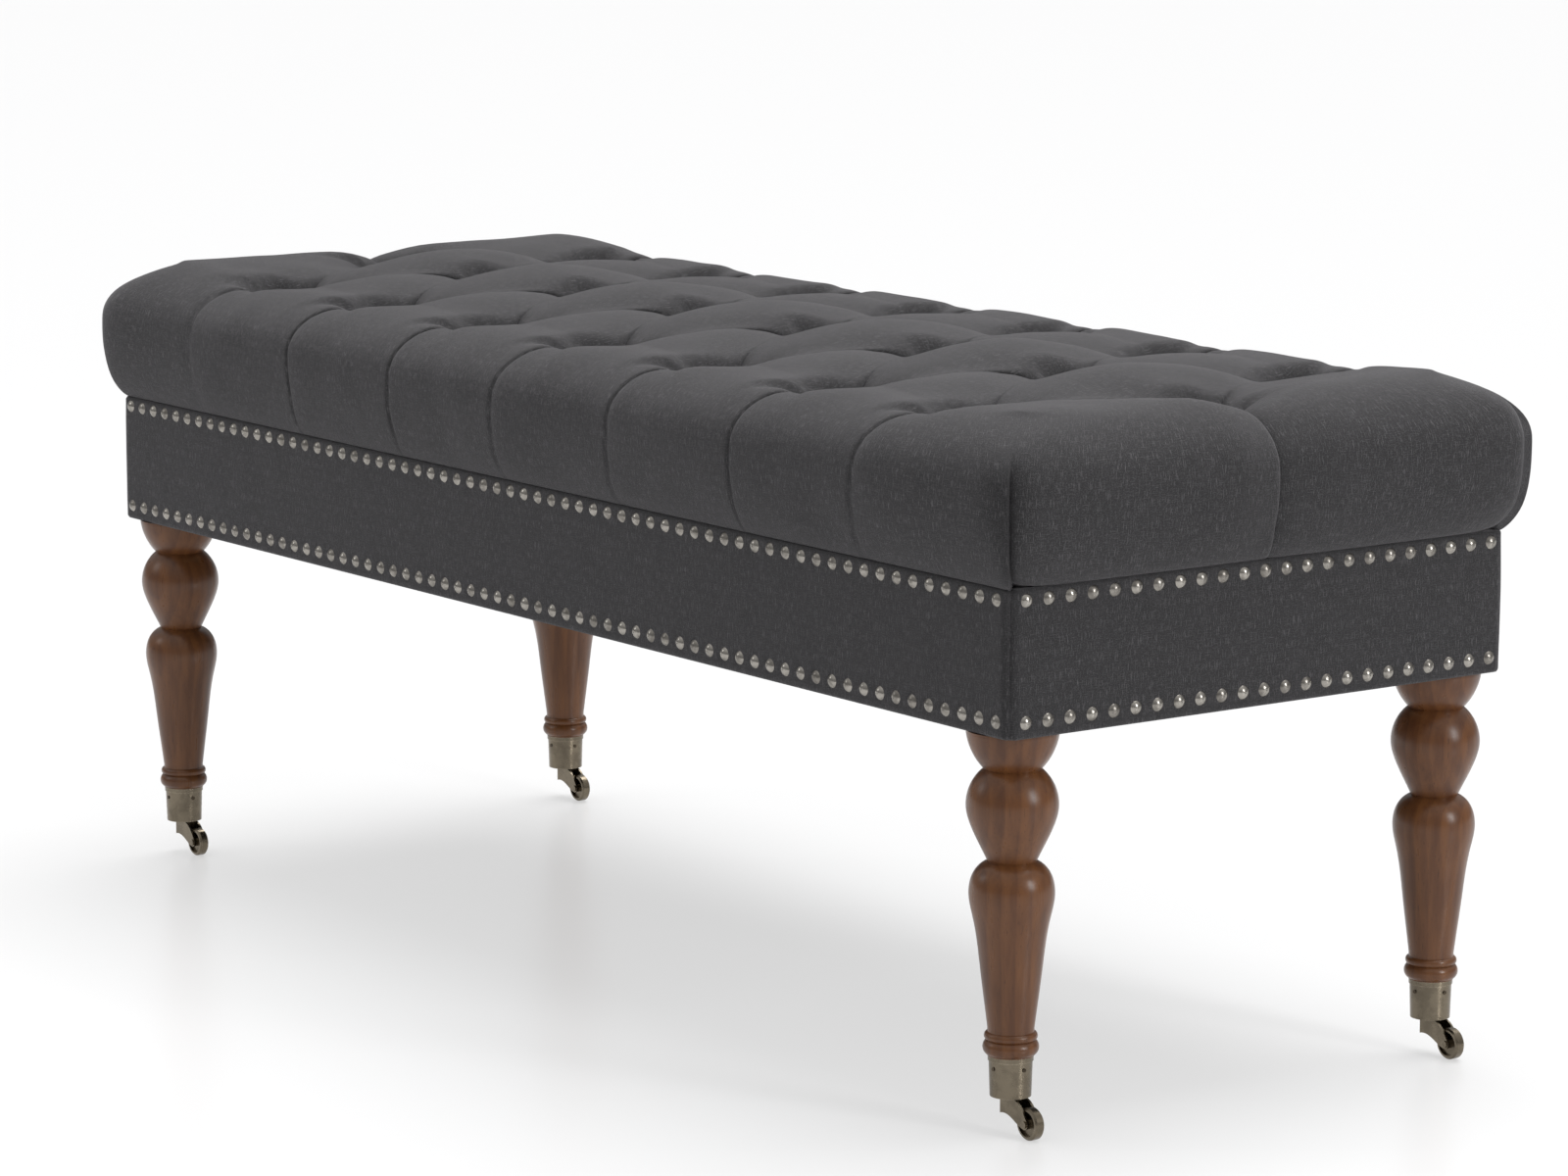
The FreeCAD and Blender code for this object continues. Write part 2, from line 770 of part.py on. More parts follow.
def leg_shape():
    top = sized("apron_bottom")
    foot = sized("leg_foot")
    cap = sized("leg_cap_radius")
    root = sized("bead_root_radius")
    ankle = sized("leg_ankle_radius")
    upper_neck = (sized("leg_upper_neck_radius"), top - sized("leg_upper_neck_drop"))
    ball = (sized("leg_ball_radius"), top - sized("leg_ball_drop"))
    lower_neck = (sized("leg_lower_neck_radius"), top - sized("leg_lower_neck_drop"))
    vase = (sized("leg_vase_radius"), top - sized("leg_vase_drop"))
    lower_bead_foot = foot + sized("bead_lift")
    lower_bead_top = lower_bead_foot + sized("lower_bead_height")
    upper_bead_top = lower_bead_top + sized("upper_bead_height")
    ankle_top = (ankle, upper_bead_top + sized("leg_ankle_height"))
    tenon = sized("tenon_radius")
    tenon_end = foot - sized("tenon_length")
    bolt = sized("bolt_radius")
    bolt_end = top - sized("bolt_in_leg")

    cap_foot = (cap, top - sized("leg_cap_edge"))
    edges = chain((bolt, bolt_end), (bolt, top), (cap, top), cap_foot)
    edges.append(arc(cap_foot, between(cap_foot, upper_neck, 0.24, 0.43), upper_neck))
    edges.append(curve(upper_neck, between(upper_neck, ball, 0.74, 0.43), ball,
                       between(ball, lower_neck, 0.24, 0.37),
                       between(ball, lower_neck, 0.64, 0.71), lower_neck))
    edges.append(curve(lower_neck, between(lower_neck, vase, 0.78, 0.42), vase,
                       between(vase, ankle_top, 0.24, 0.2),
                       between(vase, ankle_top, 0.6, 0.55), ankle_top))
    edges += chain(ankle_top, (ankle, upper_bead_top))
    edges.append(arc((ankle, upper_bead_top),
                     (sized("upper_bead_radius"), (upper_bead_top + lower_bead_top) / 2),
                     (root, lower_bead_top)))
    edges.append(arc((root, lower_bead_top),
                     (sized("lower_bead_radius"), (lower_bead_top + lower_bead_foot) / 2),
                     (root, lower_bead_foot)))
    edges += chain((root, lower_bead_foot), (ankle, lower_bead_foot), (ankle, foot),
                   (tenon, foot), (tenon, tenon_end), (0, tenon_end), (0, bolt_end),
                   (bolt, bolt_end))
    return turned(edges)


def corner_place(corner, height=0):
    sx, sy = CORNERS[corner]
    return Vector(sx * number(LEG_X), sy * number(LEG_Y), height)


for corner in CORNERS:
    shaped(leg_shape(), f"leg_{corner}", corner_place(corner))

bolts = []
inserts = []
for sx, sy in CORNERS.values():
    x = signed(sx, LEG_X)
    y = signed(sy, LEG_Y)
    bolts.append(rod(x, y, "(apron_bottom - bolt_in_leg)", "bolt_radius",
                     "(bolt_in_leg + bolt_in_block)"))
    sleeve = rod(x, y, "apron_bottom", "insert_radius", "insert_length")
    inserts.append(cut(sleeve, [rod(x, y, "apron_bottom", "bolt_radius", "insert_length")]))
keep(group(bolts), "leg_bolts")
keep(group(inserts), "leg_inserts")

# Castors: cup on the leg's tenon, swivel pin riveted through its floor, horned fork, wheel.


def castor_cup(corner):
    body = doc.addObject("PartDesign::Body", "Cup")
    sketch = sketch_on(body, "XZ_Plane")
    under_lip = "(leg_foot - cup_lip_height)"
    floor_top = f"({CUP_LOW} + cup_floor)"
    hole = "(pin_radius + running_gap)"
    outline(sketch, [
        (hole, CUP_LOW), ("cup_bottom_radius", CUP_LOW), ("cup_top_radius", under_lip),
        ("cup_lip_radius", under_lip), ("cup_lip_radius", "leg_foot"),
        ("tenon_radius", "leg_foot"), ("tenon_radius", floor_top), (hole, floor_top),
    ])
    body.Tip = revolved(body, sketch)
    body.Placement = Placement(corner_place(corner), Rotation())
    keep(body, f"castor_cup_{corner}")


for corner in CORNERS:
    castor_cup(corner)


def cup_nails():
    """Four small nails through each cup into the tenon."""
    height = sized("leg_foot") - sized("cup_nail_drop")
    wall_low = number(CUP_LOW)
    wall_high = sized("leg_foot") - sized("cup_lip_height")
    share = (height - wall_low) / (wall_high - wall_low)
    bottom = sized("cup_bottom_radius")
    surface = bottom + share * (sized("cup_top_radius") - bottom)
    shank = Part.makeCylinder(sized("cup_nail_shank_radius"), sized("cup_nail_shank_length"))
    shank.translate(Vector(0, 0, -sized("cup_nail_shank_length")))
    head = Part.makeCylinder(sized("cup_nail_head_radius"), 2 * sized("cup_nail_head_height"))
    head.translate(Vector(0, 0, -sized("cup_nail_head_height")))
    pin = shank.fuse(head)
    copies = []
    for corner in CORNERS:
        for turn in (0, 90, 180, 270):
            copy = pin.copy()
            lying = Placement(Vector(surface, 0, height), Rotation(Vector(0, 1, 0), 90))
            around = Placement(corner_place(corner), Rotation(Vector(0, 0, 1), turn))
            copy.Placement = around * lying
            copies.append(copy)
    shaped(Part.makeCompound(copies), "cup_nails")


cup_nails()


def fork_shape():
    """Two horn-shaped cheeks from a short stem, curving down to the axle bosses."""
    top = number(CUP_LOW) - sized("swivel_gap")
    back = -sized("fork_back")
    stem_foot = top - sized("fork_stem_drop")
    crown = sized("fork_crown_reach")
    trail = sized("castor_trail")
    axle = sized("wheel_radius")
    boss = sized("fork_boss_radius")
    inside = sized("wheel_width") / 2 + sized("fork_gap")
    outside = inside + sized("fork_wall")
    # the horn's lower edge meets the boss at its foot, the upper edge at its shoulder
    below = (trail, axle - boss)
    tip = (trail + boss * math.cos(math.radians(30)), axle - boss * math.sin(math.radians(30)))
    above = (trail + boss * math.cos(math.radians(20)), axle + boss * math.sin(math.radians(20)))
    heel = (back, stem_foot)
    brow = (crown, top)
    edges = chain((back, top), heel)
    edges.append(curve(heel, between(heel, below, 0.49, 0.2), between(heel, below, 0.74, 0.68),
                       below))
    edges.append(arc(below, tip, above))
    edges.append(curve(above, between(brow, above, 0.76, 0.63), between(brow, above, 0.46, 0.25),
                       brow))
    edges += chain(brow, (back, top))
    face = Part.Face(Part.Wire(edges))
    face.translate(Vector(0, -outside, 0))
    cheeks = face.extrude(Vector(0, 2 * outside, 0))
    slot = Part.makeBox(2 * trail, 2 * inside, 2 * top,
                        Vector(sized("fork_web_reach"), -inside, 0))
    bore = Part.makeCylinder(sized("axle_radius"), 2 * outside, Vector(trail, -outside, axle),
                             Vector(0, 1, 0))
    pin = Part.makeCylinder(sized("pin_radius"), sized("pin_depth"),
                            Vector(0, 0, top - sized("pin_depth")))
    return cheeks.cut(slot).cut(bore).cut(pin)


def swivel_pin_shape():
    """A pin in the fork with a riveted head over the cup's floor."""
    top = number(CUP_LOW) - sized("swivel_gap")
    head_foot = number(CUP_LOW) + sized("cup_floor") + sized("swivel_gap")
    radius = sized("pin_radius")
    head = sized("pin_head_radius")
    head_top = head_foot + sized("pin_head_height")
    low = top - sized("pin_depth")
    return turned(chain((0, low), (radius, low), (radius, head_foot), (head, head_foot),
                        (head, head_top), (0, head_top), (0, low)))


def axle_shape():
    """A rivet through both cheeks with a head outside each."""
    half = sized("wheel_width") / 2 + sized("fork_gap") + sized("fork_wall")
    radius = sized("axle_radius")
    head = sized("axle_head_radius")
    end = half + sized("axle_head_height")
    return turned(chain((0, -end), (head, -end), (head, -half), (radius, -half), (radius, half),
                        (head, half), (head, end), (0, end), (0, -end)))


ACROSS = Rotation(Vector(1, 0, 0), 90)


def axle_place(corner):
    """The axle's centre: behind the swivel pin by the trail, a wheel's radius off the floor."""
    return corner_place(corner, sized("wheel_radius")) + Vector(sized("castor_trail"), 0, 0)


def castor_wheel(corner):
    """A wheel with a rounded tread, dished on both faces around its hub."""
    body = doc.addObject("PartDesign::Body", "Wheel")
    sketch = sketch_on(body, "XZ_Plane")
    rim_in = "(wheel_radius - wheel_rim)"
    shoulder = "(wheel_radius - wheel_edge)"
    side = "(wheel_width / 2)"
    edge_side = "(wheel_width / 2 - wheel_edge)"
    web = "(wheel_web / 2)"
    bore = "(axle_radius + running_gap)"
    upper = [(bore, side), ("wheel_hub_radius", side), ("wheel_hub_radius", web),
             (rim_in, web), (rim_in, side), (shoulder, side), ("wheel_radius", edge_side)]
    lower = [(x, signed(-1, y)) for x, y in reversed(upper)]
    outline(sketch, upper + lower)
    body.Tip = revolved(body, sketch)
    body.Placement = Placement(axle_place(corner), ACROSS)
    keep(body, f"castor_wheel_{corner}")


for corner in CORNERS:
    shaped(fork_shape(), f"castor_fork_{corner}", corner_place(corner))
    shaped(swivel_pin_shape(), f"swivel_pin_{corner}", corner_place(corner))
    shaped(axle_shape(), f"castor_axle_{corner}", axle_place(corner), ACROSS)
    castor_wheel(corner)

doc.recompute()

for thing in doc.Objects:
    if "Invalid" in thing.State or "Error" in thing.State:
        raise RuntimeError(f"{thing.Label} failed: {thing.State}")
for thing in nodes:
    if thing.Shape.isNull() or not thing.Shape.isValid() or not thing.Shape.Solids:
        raise RuntimeError(f"{thing.Label} has no sound shape")

os.makedirs("parts", exist_ok=True)
for thing in nodes:
    thing.Shape.exportStep(f"parts/{thing.Label}.step")
    volume = thing.Shape.Volume / 1000
    print(f"{thing.Label}: {len(thing.Shape.Solids)} solids, {volume:.2f} cubic centimetres")
print(len(nodes), "nodes")
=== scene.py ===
"""Looks of a tufted bench: linen-look cover, nailed apron, turned walnut legs, brass castors."""
import math

import bpy
import numpy as np
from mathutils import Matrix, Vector, noise


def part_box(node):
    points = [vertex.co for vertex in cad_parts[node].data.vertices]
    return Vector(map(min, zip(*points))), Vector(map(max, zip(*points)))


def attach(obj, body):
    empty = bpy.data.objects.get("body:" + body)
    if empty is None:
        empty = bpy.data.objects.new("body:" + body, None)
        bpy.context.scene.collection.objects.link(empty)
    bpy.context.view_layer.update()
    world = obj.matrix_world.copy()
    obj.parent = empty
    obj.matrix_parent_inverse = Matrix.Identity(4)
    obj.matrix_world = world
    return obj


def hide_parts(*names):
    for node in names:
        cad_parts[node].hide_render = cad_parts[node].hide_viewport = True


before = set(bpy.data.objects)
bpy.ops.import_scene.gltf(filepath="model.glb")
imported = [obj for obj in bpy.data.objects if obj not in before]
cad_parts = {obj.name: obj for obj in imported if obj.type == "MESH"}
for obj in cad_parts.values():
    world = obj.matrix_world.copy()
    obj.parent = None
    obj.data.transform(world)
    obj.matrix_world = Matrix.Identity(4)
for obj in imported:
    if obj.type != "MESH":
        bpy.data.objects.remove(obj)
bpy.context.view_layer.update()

MM = 0.001
SIDES = {"left": -1, "right": 1}
DEPTHS = {"front": -1, "back": 1}
CORNERS = {f"{d}_{s}": (SIDES[s], DEPTHS[d]) for d in DEPTHS for s in SIDES}
RANDOM = np.random.default_rng(7)


# Camera, floor and light

CAMERA_PLACE = (3.7385, -2.6687, 1.0725)
CAMERA_TILT = 80.37
CAMERA_HEADING = 54.24
CAMERA_LENS = 133.0
FLOOR_HALF = 60.0


def make_camera():
    data = bpy.data.cameras.new("camera")
    data.lens = CAMERA_LENS
    data.sensor_width = 36.0
    data.clip_end = 200.0
    camera = bpy.data.objects.new("camera", data)
    camera.location = CAMERA_PLACE
    camera.rotation_euler = (math.radians(CAMERA_TILT), 0, math.radians(CAMERA_HEADING))
    bpy.context.scene.collection.objects.link(camera)
    bpy.context.scene.camera = camera


def area_light(name, place, target, size, power, colour=(1, 1, 1)):
    data = bpy.data.lights.new(name, "AREA")
    data.shape = "RECTANGLE"
    data.size, data.size_y = size
    data.energy = power
    data.color = colour
    light = bpy.data.objects.new(name, data)
    light.location = place
    aim = Vector(target) - Vector(place)
    light.rotation_euler = aim.to_track_quat("-Z", "Y").to_euler()
    bpy.context.scene.collection.objects.link(light)


def sun_light(name, heading, height, power, spread):
    data = bpy.data.lights.new(name, "SUN")
    data.energy = power
    data.angle = math.radians(spread)
    light = bpy.data.objects.new(name, data)
    light.rotation_euler = (math.radians(90 - height), 0, math.radians(heading))
    bpy.context.scene.collection.objects.link(light)


LOW_GLOW = 0.13
OVERHEAD_GLOW = 0.85
FLOOR_GLOW = 0.51


def studio_world():
    """A pale studio, brighter overhead and dim low down all round."""
    world = bpy.data.worlds.new("studio")
    world.use_nodes = True
    bpy.context.scene.world = world
    tree = world.node_tree
    background = tree.nodes["Background"]
    place = tree.nodes.new("ShaderNodeTexCoord")
    parts = tree.nodes.new("ShaderNodeSeparateXYZ")
    tree.links.new(place.outputs["Generated"], parts.inputs[0])
    up = tree.nodes.new("ShaderNodeMapRange")
    up.inputs["From Min"].default_value = -0.1
    up.inputs["From Max"].default_value = 0.9
    up.inputs["To Min"].default_value = LOW_GLOW
    up.inputs["To Max"].default_value = OVERHEAD_GLOW
    tree.links.new(parts.outputs["Z"], up.inputs["Value"])
    tree.links.new(up.outputs[0], background.inputs["Strength"])
    background.inputs["Color"].default_value = (1.0, 1.0, 1.0, 1.0)


def make_stage():
    mesh = bpy.data.meshes.new("floor")
    half = FLOOR_HALF
    mesh.from_pydata([(-half, -half, 0), (half, -half, 0), (half, half, 0), (-half, half, 0)],
                     [], [(0, 1, 2, 3)])
    floor = bpy.data.objects.new("floor", mesh)
    bpy.context.scene.collection.objects.link(floor)
    material = bpy.data.materials.new("pale_floor")
    material.use_nodes = True
    shader = material.node_tree.nodes["Principled BSDF"]
    shader.inputs["Base Color"].default_value = (0.36, 0.36, 0.362, 1)
    shader.inputs["Roughness"].default_value = 0.26
    shader.inputs["Specular IOR Level"].default_value = 0.3
    shader.inputs["Emission Color"].default_value = (1, 1, 1, 1)
    shader.inputs["Emission Strength"].default_value = FLOOR_GLOW
    mesh.materials.append(material)


make_camera()
bpy.context.scene.view_settings.view_transform = "Standard"
studio_world()
make_stage()
sun_light("overhead_sun", heading=-150, height=74, power=2.8, spread=45)
area_light("left_softbox", (-2.2, -2.6, 1.9), (0, 0, 0.2), (1.0, 0.9), 7)
area_light("right_strip", (3.4, 0.8, 1.4), (0.3, 0, 0.3), (0.5, 1.2), 36)


# Shader node groups

class Group:
    """A shader node group with named inputs and outputs, and short calls to fill it."""

    def __init__(self, name, inputs, outputs):
        self.tree = bpy.data.node_groups.new(name, "ShaderNodeTree")
        for label, kind, value in inputs:
            socket = self.tree.interface.new_socket(label, in_out="INPUT", socket_type=kind)
            if value is not None:
                socket.default_value = value
        for label, kind in outputs:
            self.tree.interface.new_socket(label, in_out="OUTPUT", socket_type=kind)
        self.start = self.tree.nodes.new("NodeGroupInput")
        self.end = self.tree.nodes.new("NodeGroupOutput")

    def given(self, label):
        return self.start.outputs[label]

    def out(self, label, value):
        self.tree.links.new(value, self.end.inputs[label])

    def put(self, kind, settings=(), **inputs):
        return add_node(self.tree, kind, settings, inputs)

    def math(self, operation, *values):
        return add_math(self.tree, operation, values)

    def remap(self, value, low, high, to_low=0.0, to_high=1.0):
        node = self.put("ShaderNodeMapRange", {"clamp": True, "interpolation_type": "SMOOTHSTEP"})
        self.tree.links.new(value, node.inputs["Value"])
        for label, amount in (("From Min", low), ("From Max", high), ("To Min", to_low),
                              ("To Max", to_high)):
            node.inputs[label].default_value = amount
        return node.outputs["Result"]

    def noise(self, vector, scale, detail=2.0, roughness=0.5, distortion=0.0):
        node = self.put("ShaderNodeTexNoise")
        feed(self.tree, node.inputs["Vector"], vector)
        feed(self.tree, node.inputs["Scale"], scale)
        node.inputs["Detail"].default_value = detail
        node.inputs["Roughness"].default_value = roughness
        node.inputs["Distortion"].default_value = distortion
        return node.outputs["Fac"]

    def stretched(self, vector, x, y, z):
        node = self.put("ShaderNodeVectorMath", {"operation": "MULTIPLY"})
        feed(self.tree, node.inputs[0], vector)
        node.inputs[1].default_value = (x, y, z)
        return node.outputs["Vector"]

    def mixed(self, share, first, second):
        node = self.put("ShaderNodeMix", {"data_type": "RGBA"})
        feed(self.tree, node.inputs["Factor"], share)
        feed(self.tree, node.inputs["A"], first, "RGBA")
        feed(self.tree, node.inputs["B"], second, "RGBA")
        return colour_of(node)


def colour_of(mix):
    return next(s for s in mix.outputs if s.type == "RGBA")


def feed(tree, socket, value, kind=None):
    """Link a socket, or set it where the value is a number or colour."""
    if kind:
        socket = next(s for s in socket.node.inputs if s.name == socket.name and s.type == kind)
    if isinstance(value, bpy.types.NodeSocket):
        tree.links.new(value, socket)
    else:
        socket.default_value = value


def add_node(tree, kind, settings, inputs):
    node = tree.nodes.new(kind)
    for label, value in dict(settings).items():
        setattr(node, label, value)
    for label, value in inputs.items():
        feed(tree, node.inputs[label], value)
    return node


def add_math(tree, operation, values):
    node = tree.nodes.new("ShaderNodeMath")
    node.operation = operation
    for socket, value in zip(node.inputs, values):
        feed(tree, socket, value)
    return node.outputs[0]


def linen_group():
    """Heathered linen-look weave: light slubs both ways, fine thread relief."""
    group = Group("linen_weave",
                  [("Cloth", "NodeSocketVector", None), ("Turn", "NodeSocketFloat", 0.0),
                   ("Dark", "NodeSocketColor", (0.05, 0.05, 0.05, 1)),
                   ("Light", "NodeSocketColor", (0.2, 0.2, 0.2, 1))],
                  [("Color", "NodeSocketColor"), ("Height", "NodeSocketFloat"),
                   ("Roughness", "NodeSocketFloat")])
    cloth = group.given("Cloth")
    along = group.noise(group.stretched(cloth, 1900, 120, 1), 1.0, 2, 0.6)
    across = group.noise(group.stretched(cloth, 120, 1900, 1), 1.0, 2, 0.6)
    slub_up = group.remap(along, 0.55, 0.74)
    slub_side = group.remap(across, 0.55, 0.74)
    upright = group.math("SUBTRACT", 1.0, group.given("Turn"))
    first = group.math("MULTIPLY", slub_up,
                       group.math("ADD", group.math("MULTIPLY", upright, 0.6), 0.4))
    other = group.math("MULTIPLY", slub_side,
                       group.math("ADD", group.math("MULTIPLY", group.given("Turn"), 0.6), 0.4))
    grain = group.noise(cloth, 1100, 1, 0.5)
    mottle = group.noise(cloth, 55, 3, 0.6)
    share = group.math("ADD", group.math("MULTIPLY", group.math("ADD", first, other), 0.52),
                       group.math("MULTIPLY", group.remap(grain, 0.42, 0.78), 0.22))
    share = group.math("ADD", share, group.math("MULTIPLY", group.remap(mottle, 0.3, 0.7), 0.05))
    group.out("Color", group.mixed(share, group.given("Dark"), group.given("Light")))
    threads = group.put("ShaderNodeSeparateXYZ")
    group.tree.links.new(cloth, threads.inputs[0])
    wobble = group.math("MULTIPLY", group.noise(cloth, 260, 2, 0.5), 2.2)
    pitch = 2 * math.pi / (1.05 * MM)
    warp = group.math("MULTIPLY", threads.outputs["X"], pitch)
    warp = group.math("SINE", group.math("ADD", warp, wobble))
    weft = group.math("MULTIPLY", threads.outputs["Y"], pitch)
    weft = group.math("SINE", group.math("ADD", weft, wobble))
    relief = group.math("ADD", group.math("MULTIPLY", group.math("MULTIPLY", warp, weft), 0.5),
                        group.math("ADD", slub_up, slub_side))
    group.out("Height", group.math("ADD", relief, grain))
    group.out("Roughness", group.remap(mottle, 0.3, 0.7, 0.82, 0.95))
    return group.tree


def timber_group():
    """Growth rings around a far pith, long fibres along Z and open pores."""
    group = Group("timber",
                  [("Place", "NodeSocketVector", None), ("Pith", "NodeSocketVector", (0, 0, 0)),
                   ("Rings", "NodeSocketFloat", 190.0),
                   ("Dark", "NodeSocketColor", (0.03, 0.01, 0.005, 1)),
                   ("Middle", "NodeSocketColor", (0.12, 0.045, 0.02, 1)),
                   ("Light", "NodeSocketColor", (0.2, 0.08, 0.04, 1))],
                  [("Color", "NodeSocketColor"), ("Height", "NodeSocketFloat"),
                   ("Roughness", "NodeSocketFloat")])
    place = group.given("Place")
    apart = group.put("ShaderNodeVectorMath", {"operation": "SUBTRACT"})
    group.tree.links.new(place, apart.inputs[0])
    group.tree.links.new(group.given("Pith"), apart.inputs[1])
    sway = group.noise(group.stretched(place, 9, 9, 2.5), 1.0, 2, 0.5)
    flat = group.stretched(apart.outputs["Vector"], 1, 1, 0.04)
    length = group.put("ShaderNodeVectorMath", {"operation": "LENGTH"})
    group.tree.links.new(flat, length.inputs[0])
    radius = group.math("ADD", length.outputs["Value"], group.math("MULTIPLY", sway, 0.035))
    turn = group.math("FRACT", group.math("MULTIPLY", radius, group.given("Rings")))
    early = group.remap(turn, 0.05, 0.75)
    late = group.remap(turn, 0.86, 0.99)
    ring = group.math("SUBTRACT", early, late)
    fibre = group.noise(group.stretched(place, 900, 900, 16), 1.0, 3, 0.6)
    streak = group.noise(group.stretched(place, 120, 120, 5), 1.0, 3, 0.6)
    cloud = group.noise(place, 14, 2, 0.5)
    tone = group.math("ADD", group.math("MULTIPLY", ring, 0.28),
                      group.math("MULTIPLY", group.remap(streak, 0.3, 0.7), 0.46))
    tone = group.math("ADD", tone, group.math("MULTIPLY", group.math("SUBTRACT", cloud, 0.5), 0.6))
    body = group.mixed(tone, group.given("Light"), group.given("Middle"))
    pores = group.remap(fibre, 0.60, 0.74)
    dark_share = group.math("MULTIPLY", pores, 0.55)
    group.out("Color", group.mixed(dark_share, body, group.given("Dark")))
    group.out("Height", group.math("SUBTRACT", group.math("MULTIPLY", ring, 0.2),
                                   group.math("MULTIPLY", pores, 0.8)))
    group.out("Roughness", group.remap(streak, 0.3, 0.7, 0.27, 0.36))
    return group.tree


def patina_group():
    """Metal that darkens in patches and is lighter along its edges, partly rubbed wear and partly
    a painted highlight on the rims.
    """
    group = Group("patina",
                  [("Place", "NodeSocketVector", None), ("Edge", "NodeSocketFloat", 0.0015),
                   ("Patch", "NodeSocketFloat", 160.0),
                   ("Dark", "NodeSocketColor", (0.03, 0.025, 0.02, 1)),
                   ("Metal", "NodeSocketColor", (0.3, 0.24, 0.15, 1)),
                   ("Rubbed_and_highlight", "NodeSocketColor", (0.6, 0.5, 0.33, 1))],
                  [("Color", "NodeSocketColor"), ("Roughness", "NodeSocketFloat"),
                   ("Height", "NodeSocketFloat")])
    place = group.given("Place")
    bevel = group.put("ShaderNodeBevel")
    bevel.samples = 4
    group.tree.links.new(group.given("Edge"), bevel.inputs["Radius"])
    shape = group.put("ShaderNodeNewGeometry")
    dot = group.put("ShaderNodeVectorMath", {"operation": "DOT_PRODUCT"})
    group.tree.links.new(bevel.outputs["Normal"], dot.inputs[0])
    group.tree.links.new(shape.outputs["Normal"], dot.inputs[1])
    edge = group.remap(group.math("SUBTRACT", 1.0, dot.outputs["Value"]), 0.02, 0.22)
    patches = group.noise(place, group.given("Patch"), 4, 0.65)
    fine = group.noise(place, 2600, 2, 0.6)
    dull = group.remap(patches, 0.38, 0.66)
    metal = group.mixed(group.math("MULTIPLY", dull, 0.6), group.given("Metal"),
                        group.given("Dark"))
    # painted highlight: every edge the bevel finds is lightened, as rubbed wear and as rims
    # catching the light
    rub_and_highlight = group.math("MULTIPLY", edge, group.remap(patches, 0.25, 0.6, 1.0, 0.35))
    group.out("Color", group.mixed(rub_and_highlight, metal, group.given("Rubbed_and_highlight")))
    group.out("Roughness", group.math("ADD", group.remap(patches, 0.3, 0.7, 0.17, 0.30),
                                      group.math("MULTIPLY", fine, 0.06)))
    group.out("Height", group.math("ADD", group.math("MULTIPLY", patches, 1.4), fine))
    return group.tree


LINEN = linen_group()
TIMBER = timber_group()
PATINA = patina_group()


# Materials

class Finish:
    """A material with one Principled shader and an effect group."""

    def __init__(self, name, effect, values=()):
        self.material = bpy.data.materials.new(name)
        self.material.use_nodes = True
        self.tree = self.material.node_tree
        self.shader = self.tree.nodes["Principled BSDF"]
        self.effect = self.tree.nodes.new("ShaderNodeGroup")
        self.effect.node_tree = effect
        for label, value in dict(values).items():
            self.effect.inputs[label].default_value = value

    def place(self, socket="Place"):
        """Feed the effect with the object's own coordinates."""
        coordinates = self.tree.nodes.new("ShaderNodeTexCoord")
        self.tree.links.new(coordinates.outputs["Object"], self.effect.inputs[socket])
        return self

    def cloth_map(self):
        """Feed the effect with the cloth's own coordinates."""
        uv = self.tree.nodes.new("ShaderNodeUVMap")
        uv.uv_map = "cloth"
        self.tree.links.new(uv.outputs["UV"], self.effect.inputs["Cloth"])
        return self

    def set(self, **values):
        for label, value in values.items():
            self.shader.inputs[label.replace("_", " ")].default_value = value
        return self

    def dressed(self, relief=None, strength=0.3):
        self.tree.links.new(self.effect.outputs["Color"], self.shader.inputs["Base Color"])
        self.tree.links.new(self.effect.outputs["Roughness"], self.shader.inputs["Roughness"])
        if relief:
            bump = self.tree.nodes.new("ShaderNodeBump")
            bump.inputs["Strength"].default_value = strength
            bump.inputs["Distance"].default_value = relief
            self.tree.links.new(self.effect.outputs["Height"], bump.inputs["Height"])
            self.tree.links.new(bump.outputs["Normal"], self.shader.inputs["Normal"])
        return self.material


LINEN_TONES = {"Dark": (0.0186, 0.0182, 0.0190, 1), "Light": (0.152, 0.146, 0.153, 1)}


def linen(name, tones, by_map=True, turned=False):
    finish = Finish(name, LINEN, tones)
    if by_map:
        finish.cloth_map()
    else:
        finish.place("Cloth")
    if turned:
        side = finish.tree.nodes.new("ShaderNodeAttribute")
        side.attribute_name = "turn"
        finish.tree.links.new(side.outputs["Fac"], finish.effect.inputs["Turn"])
    finish.set(Sheen_Weight=0.27, Sheen_Roughness=0.45, Specular_IOR_Level=0.2)
    finish.shader.inputs["Sheen Tint"].default_value = (0.75, 0.73, 0.76, 1)
    return finish.dressed(0.25 * MM, 0.5)


def timber(name, pith, rings, dark, middle, light, coat=0.0):
    finish = Finish(name, TIMBER, {"Pith": pith, "Rings": rings, "Dark": dark,
                                   "Middle": middle, "Light": light}).place()
    if coat:
        finish.set(Coat_Weight=coat, Coat_Roughness=0.28, Specular_IOR_Level=0.3)
    return finish.dressed(0.06 * MM, 0.35)


def aged_metal(name, edge, patch, dark, metal, rubbed_and_highlight):
    finish = Finish(name, PATINA, {"Edge": edge, "Patch": patch, "Dark": dark, "Metal": metal,
                                   "Rubbed_and_highlight": rubbed_and_highlight}).place()
    finish.set(Metallic=1.0)
    return finish.dressed(0.05 * MM, 0.25)


